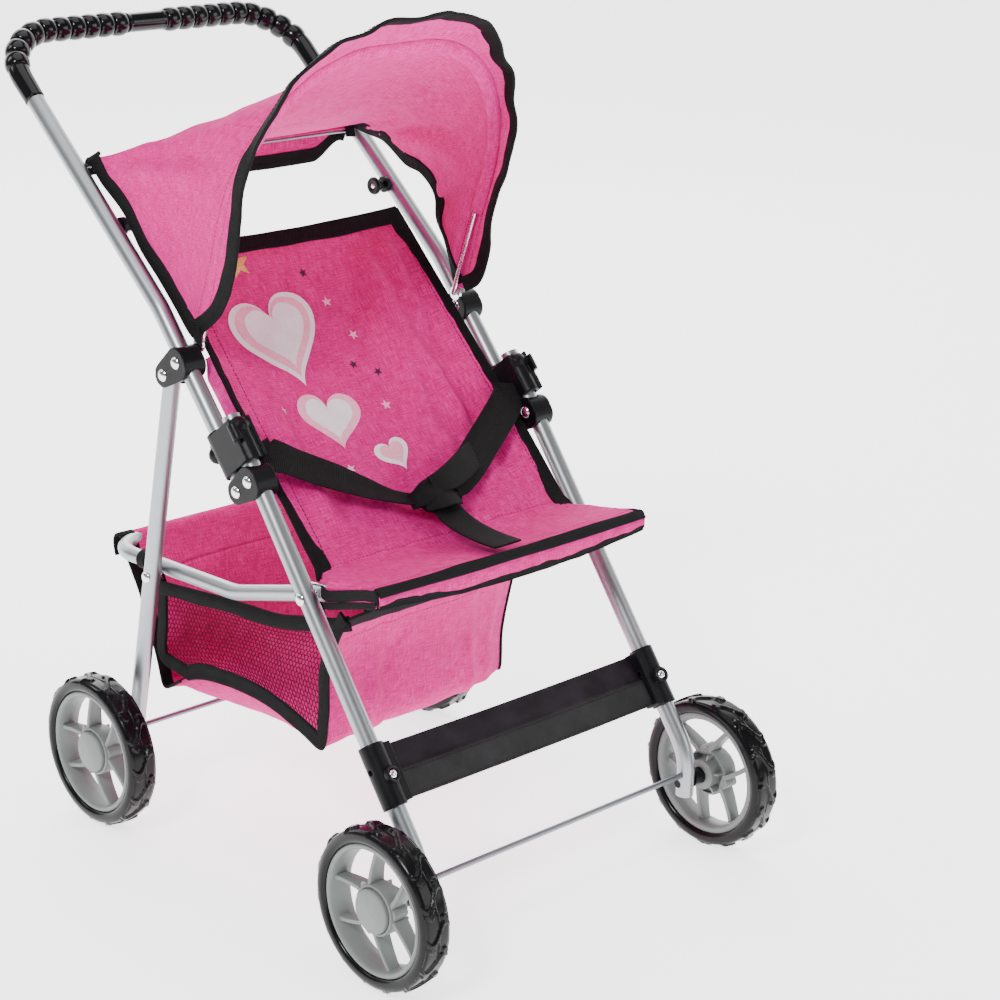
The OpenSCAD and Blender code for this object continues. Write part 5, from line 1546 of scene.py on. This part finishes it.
# ------------------------------------------------------------------ basket: pink strip front, floor and rear, black net sides
def basket():
    # the pink strip, from the front panel's top edge down, along the floor and up over the crossbar
    # rows: (y, z) at the middle, (y, z) at the sides, half width
    rows_key = [
        # (y_mid, z_mid, y_right, z_right, y_left, z_left, half)
        (-92.0, 200.5, -101.5, 202.5, -62.0, 205.0, 99.0),
        (-88.0, 190.0, -92.0, 188.0, -58.5, 192.0, 98.0),
        (-78.0, 160.0, -80.5, 157.0, -51.0, 160.0, 97.0),
        (-72.0, 130.0, -79.0, 130.0, -45.5, 128.0, 96.0),
        (-68.0, 106.0, -75.5, 103.0, -46.0, 101.0, 95.5),
        (-60.0, 96.5, -72.0, 98.5, -45.5, 96.5, 95.0),
        (-40.0, 88.0, -60.0, 104.0, -38.0, 101.0, 96.5),
        (-5.0, 81.0, -20.0, 115.0, -14.0, 110.0, 98.5),
        (30.0, 77.0, 30.0, 114.5, 30.0, 111.5, 99.0),
        (60.0, 76.0, 64.0, 107.5, 62.0, 105.0, 99.0),
        (86.0, 79.5, 90.0, 92.5, 88.0, 90.0, 99.5),
        (102.0, 88.0, 98.8, 87.5, 99.0, 86.0, 100.0),
        (112.0, 110.0, 104.0, 104.0, 104.0, 103.0, 100.5),
        (124.0, 140.0, 116.0, 136.0, 116.0, 135.0, 101.5),
        (134.0, 165.0, 128.0, 163.0, 128.0, 162.0, 102.5),
        (140.0, 181.0, 139.0, 180.0, 139.0, 179.8, 103.0),
        (141.8, 189.5, 141.6, 189.0, 141.6, 189.0, 103.0),
        (147.5, 193.8, 147.5, 193.7, 147.5, 193.7, 103.0),
        (153.4, 190.0, 153.5, 189.8, 153.5, 189.8, 103.0),
        (153.6, 182.5, 153.6, 182.5, 153.6, 182.5, 103.0),
        (150.5, 175.5, 151.0, 175.5, 151.0, 175.5, 103.0),
    ]
    k = np.array(rows_key, float)
    kk = catmull(k, 130)
    nc = 73
    q = np.linspace(-1, 1, nc)
    G = np.zeros((130, nc, 3))
    for i, r in enumerate(kk):
        ym, zm, yr, zr, yl, zl, hw = r
        for j, s in enumerate(q):
            a = abs(s) ** 2.2
            ys, zs = (yr, zr) if s < 0 else (yl, zl)
            # floor sags between its sides, the upright panels bow less
            u = i / 129
            a2 = abs(s) ** (5.0 if 0.27 < u < 0.62 else 2.0)
            G[i, j] = (s * hw, ym * (1 - a2) + ys * a2, zm * (1 - a2) + zs * a2)
    G2 = G.copy()
    for _ in range(3):
        G2[1:-1] = 0.25 * G2[:-2] + 0.5 * G2[1:-1] + 0.25 * G2[2:]
        G2[:, 1:-1] = 0.25 * G2[:, :-2] + 0.5 * G2[:, 1:-1] + 0.25 * G2[:, 2:]
    G = G2
    du, dv = np.gradient(G, axis=0), np.gradient(G, axis=1)
    N = np.cross(du, dv); N /= np.maximum(1e-9, np.linalg.norm(N, axis=2))[..., None]
    if N[20, nc // 2, 1] > 0:
        N = -N                                        # outward: forward on the front panel
    for i in range(130):
        u = i / 129
        win = smooth01(u / 0.05) * smooth01((0.78 - u) / 0.08)
        for j, s in enumerate(q):
            x = G[i, j, 0]
            d = 2.4 * fbm(x * 0.014 + 2, u * 5.0, 1.0) + 0.6 * fbm(x * 0.05, u * 22, 4.0, 2)
            # drag lines that fall from the top corners
            for c0, c1, amp in ((-0.75, -0.35, 2.6), (-0.45, -0.62, 1.8), (0.25, 0.62, 2.4), (0.65, 0.82, 1.8)):
                c = c0 + (c1 - c0) * (u / 0.3)
                if u < 0.34:
                    d += amp * math.sin(math.pi * u / 0.34) * (math.exp(-((s - c) / 0.055) ** 2) - 0.6 * math.exp(-((s - c - 0.13) / 0.07) ** 2))
            # cross folds in the floor
            if 0.3 < u < 0.62:
                d += 1.2 * math.sin(math.pi * (u - 0.3) / 0.32) * math.sin(x * 0.055 + 9 * u)
            G[i, j] += N[i, j] * d * win * (1 - abs(s) ** 6) * 0.9
    b = Build()
    L = np.concatenate([[0], np.cumsum(np.linalg.norm(np.diff(G[:, nc // 2], axis=0), axis=1))])
    uv = np.stack(np.meshgrid(q * 0.1, L * K), -1)
    iw = int(np.argmin(np.abs(G[90:, nc // 2, 2] - (169.5 - (G[90:, nc // 2, 1] - 99.2) * 0.170)))) + 90
    shell(b, G[:iw + 1], 1.0, 0, 0, uv[:iw + 1])
    o = b.obj("basket_strip", [PINK], True, None)
    bw = Build()
    shell(bw, G[iw:], 1.0, 0, 0, uv[iw:])
    wrap = bw.obj("basket_wrap", [PINK], True, None)
    put(wrap, "basket_arm", ())
    pieces = [o]
    # the net sides
    nets = []
    cut_all, tapes, loops, edges = [], Build(), Build(), []
    for s in (-1, 1):
        col = 0 if s < 0 else -1
        # side outline: top edge, front edge and rear edge; the lower edge is the strip's side
        top = np.array([(s * 97.5, -101.5, 203.5), (s * 98, -88.8, 198.5), (s * 98.5, -56.8, 189.9), (s * 99.5, -31.4, 183.9), (s * 100.5, -5.3, 181.4), (s * 101.5, 21.4, 179.2), (s * 102.3, 60, 174.5), (s * 102.6, 99.2, 169.5)])
        if s > 0:
            top = np.array([(s * 98, -61, 205.0), (s * 98.5, -50, 197.5), (s * 99, -36, 190.5), (s * 100, -20, 185.4), (s * 100.8, 0, 181.8), (s * 101.5, 24, 179.2), (s * 102.3, 60, 174.5), (s * 102.6, 99.2, 169.5)])
        topc = catmull(top, 61)
        lo = G[:, col]
        # lower side edge between the front panel's foot and the rear panel's foot
        i0 = int(np.argmin(np.hypot(lo[:60, 1] - lo[26, 1], lo[:60, 2] - 101)))
        i1 = 75
        low_c = resample(lo[i0:i1 + 1], 61)
        front = resample(lo[:i0 + 1][::-1], 31)      # from the foot up
        rear = catmull([low_c[-1], (s * 101.5, 100.2, 112), (s * 102.3, 99.8, 140), tuple(topc[-1])], 31)
        # Coons patch of the four edges
        nu, nv = 61, 31
        C = np.zeros((nv, nu, 3))
        a = np.linspace(0, 1, nu); c = np.linspace(0, 1, nv)
        frontr = resample(front, nv); rearr = resample(rear, nv)
        for i in range(nv):
            for j in range(nu):
                r = (1 - c[i]) * low_c[j] + c[i] * topc[j]
                t_ = (1 - a[j]) * frontr[i] + a[j] * rearr[i]
                bb = (1 - c[i]) * ((1 - a[j]) * low_c[0] + a[j] * low_c[-1]) + c[i] * ((1 - a[j]) * topc[0] + a[j] * topc[-1])
                C[i, j] = r + t_ - bb
        # sags inwards in the middle, with soft folds
        for i in range(nv):
            for j in range(nu):
                w = math.sin(math.pi * c[i]) * math.sin(math.pi * a[j])
                C[i, j, 0] -= s * (4.5 * w + 1.6 * w * math.sin(9 * (a[j] + 0.7 * c[i])) + 0.9 * w * fbm(a[j] * 5, c[i] * 4, s * 2.0))
        # hexagon net on the patch
        wlen, hlen = length(C[nv // 2]), length(C[:, nu // 2])
        pitch = 3.7
        ncell, nrow = int(wlen / pitch), int(hlen / (pitch * 0.80))
        net = Build()
        vid = {}
        pts, fc = [], []
        def at(u, v):
            u = min(max(u, 0), 1); v = min(max(v, 0), 1)
            x, y = u * (nu - 1), v * (nv - 1)
            j, i = min(int(x), nu - 2), min(int(y), nv - 2)
            fx, fy = x - j, y - i
            return C[i, j] * (1 - fx) * (1 - fy) + C[i, j + 1] * fx * (1 - fy) + C[i + 1, j] * (1 - fx) * fy + C[i + 1, j + 1] * fx * fy
        def vert(u, v):
            key = (round(u * 20000), round(v * 20000))
            if key not in vid:
                vid[key] = len(pts); pts.append(at(u, v))
            return vid[key]
        for r in range(nrow + 1):
            for cc in range(ncell + 1):
                cx = (cc + 0.5 * (r % 2)) / ncell
                cy = (r + 0.0) / nrow
                h6 = []
                for m in range(6):
                    dx = (0, 0.5, 0.5, 0, -0.5, -0.5)[m] / ncell
                    dy = (0.68, 0.32, -0.32, -0.68, -0.32, 0.32)[m] / nrow
                    h6.append((cx + dx, cy + dy))
                if all(-0.004 <= x <= 1.004 and -0.008 <= y <= 1.008 for x, y in h6):
                    ids = [vert(x, y) for x, y in h6]
                    if len(set(ids)) == 6:
                        fc.append(ids)
        me = bpy.data.meshes.new("net")
        me.from_pydata([tuple(p * K) for p in pts], [], fc)
        me.update()
        me.materials.append(NET)
        on = bpy.data.objects.new("basket_net_" + ("left" if s > 0 else "right"), me)
        bpy.context.scene.collection.objects.link(on)
        bm = bmesh.new(); bm.from_mesh(me)
        bmesh.ops.remove_doubles(bm, verts=bm.verts, dist=0.00005)
        bmesh.ops.recalc_face_normals(bm, faces=bm.faces)
        bm.to_mesh(me); bm.free()
        wf = on.modifiers.new("threads", "WIREFRAME")
        wf.thickness = 0.00062; wf.use_even_offset = False; wf.use_replace = True; wf.use_boundary = True
        nets.append(on)
        # tapes round the net
        cen = C.mean((0, 1))
        for e, wd, sd in ((topc, 8.5, 41), (resample(np.vstack([frontr]), 80), 8.0, 43), (low_c, 9.5, 45), (resample(rearr, 60), 8.5, 47)):
            e = resample(e, 110)
            tan = tangents(e)
            inw = cen - e; inw -= (inw * tan).sum(1)[:, None] * tan
            inw[:, 0] *= 0.0
            inw -= (inw * tan).sum(1)[:, None] * tan
            inw /= np.linalg.norm(inw, axis=1)[:, None]
            n = np.cross(tan, inw)
            n *= np.sign((n[:, 0] * s).mean())
            binding(tapes, e + np.array([s * 0.5, 0, 0]), inw, n, wd, 1.15, 1.2, 0, seed=sd + s, wave_amp=0.35)
        edges.append((topc, frontr))
        # loops that hold the net to the tube, by the front leg and the rear leg
        for yy, zz, ty, tz in ((-78.0, 196.5, -78.0, 218.0), (99.0, 170.0, 99.0, 190.0)):
            td = unit(np.array([0.957, -0.288]) if yy < 0 else np.array([0.998, -0.06]))
            cy_, cz_ = (yy, 224.7 - (yy + 99.7) * 0.301) if yy < 0 else (yy, 189.6)
            nrm2 = np.array([-td[1], td[0]])
            pts2 = []
            for a_ in np.linspace(-100, 200, 16):
                ra = math.radians(a_)
                pts2.append((s * 113.5 + s * 6.6 * math.cos(ra), cy_ + nrm2[0] * 6.6 * math.sin(ra), cz_ + nrm2[1] * 6.6 * math.sin(ra)))
            pts2 = [tuple(np.array((s * 100.5, yy, zz)))] + [tuple(np.array((s * 107.0, (yy + cy_) / 2, cz_ - 8.8)))] + pts2 + [tuple(np.array((s * 104.5, cy_, cz_ - 7.5))), tuple(np.array((s * 101.0, yy, zz + 1.5)))]
            wd_dir = np.array([0, td[0], td[1]])
            strap(loops, pts2, [list(wd_dir)] * len(pts2), [9.0] * len(pts2), 1.1, 0, 90)
    # tape along the front panel's top, and the hems of the part that wraps the crossbar
    e = resample(G[0], 160); tan = tangents(e); inw = G[4] - G[0]; inw = np.stack([np.interp(np.linspace(0, 1, 160), np.linspace(0, 1, nc), inw[:, k_]) for k_ in range(3)], 1)
    inw -= (inw * tan).sum(1)[:, None] * tan; inw /= np.linalg.norm(inw, axis=1)[:, None]
    n = np.cross(tan, inw)
    binding(tapes, e, inw, n, 9.0, 1.25, 0.8, 0, seed=51)
    for col, s in ((0, -1), (-1, 1)):
        e = resample(G[iw:, col], 90); tan = tangents(e); inw = np.broadcast_to(np.array([-float(s), 0, 0]), e.shape).copy()
        inw -= (inw * tan).sum(1)[:, None] * tan; inw /= np.linalg.norm(inw, axis=1)[:, None]
        n = np.cross(tan, inw)
        binding(loops, e, inw, n, 11.5, 1.2, 0.8, 0, seed=53 + s)
        e = resample(G[78:iw + 1, col], 60); tan = tangents(e); inw = np.broadcast_to(np.array([-float(s), 0, 0]), e.shape).copy()
        inw -= (inw * tan).sum(1)[:, None] * tan; inw /= np.linalg.norm(inw, axis=1)[:, None]
        n = np.cross(tan, inw)
        binding(tapes, e, inw, n, 8.0, 1.1, 0.8, 0, seed=57 + s)
    tp = tapes.obj("basket_binding", [BIND], True, 60)
    lo_ = loops.obj("basket_loops", [BIND], True, 60)
    put(lo_, "basket_arm", ())
    st = Build()
    e = G[6, 3:-3]; stitches(st, e + N[6, 3:-3] * 0.55, N[6, 3:-3], None, 0, 3.3, 2.2, 0.24)
    sw = Build()
    e = G[iw + 4, 3:-3]; stitches(sw, e + N[iw + 4, 3:-3] * 0.55, N[iw + 4, 3:-3], None, 0, 3.3, 2.2, 0.24)
    swo = sw.obj("basket_wrap_stitching", [THREAD], True, None)
    put(swo, "basket_arm", ())
    so = st.obj("basket_stitching", [THREAD], True, None)
    for x in [o, tp, so] + nets:
        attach(x, "basket_arm")
        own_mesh(x)
    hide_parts("basket")


basket()
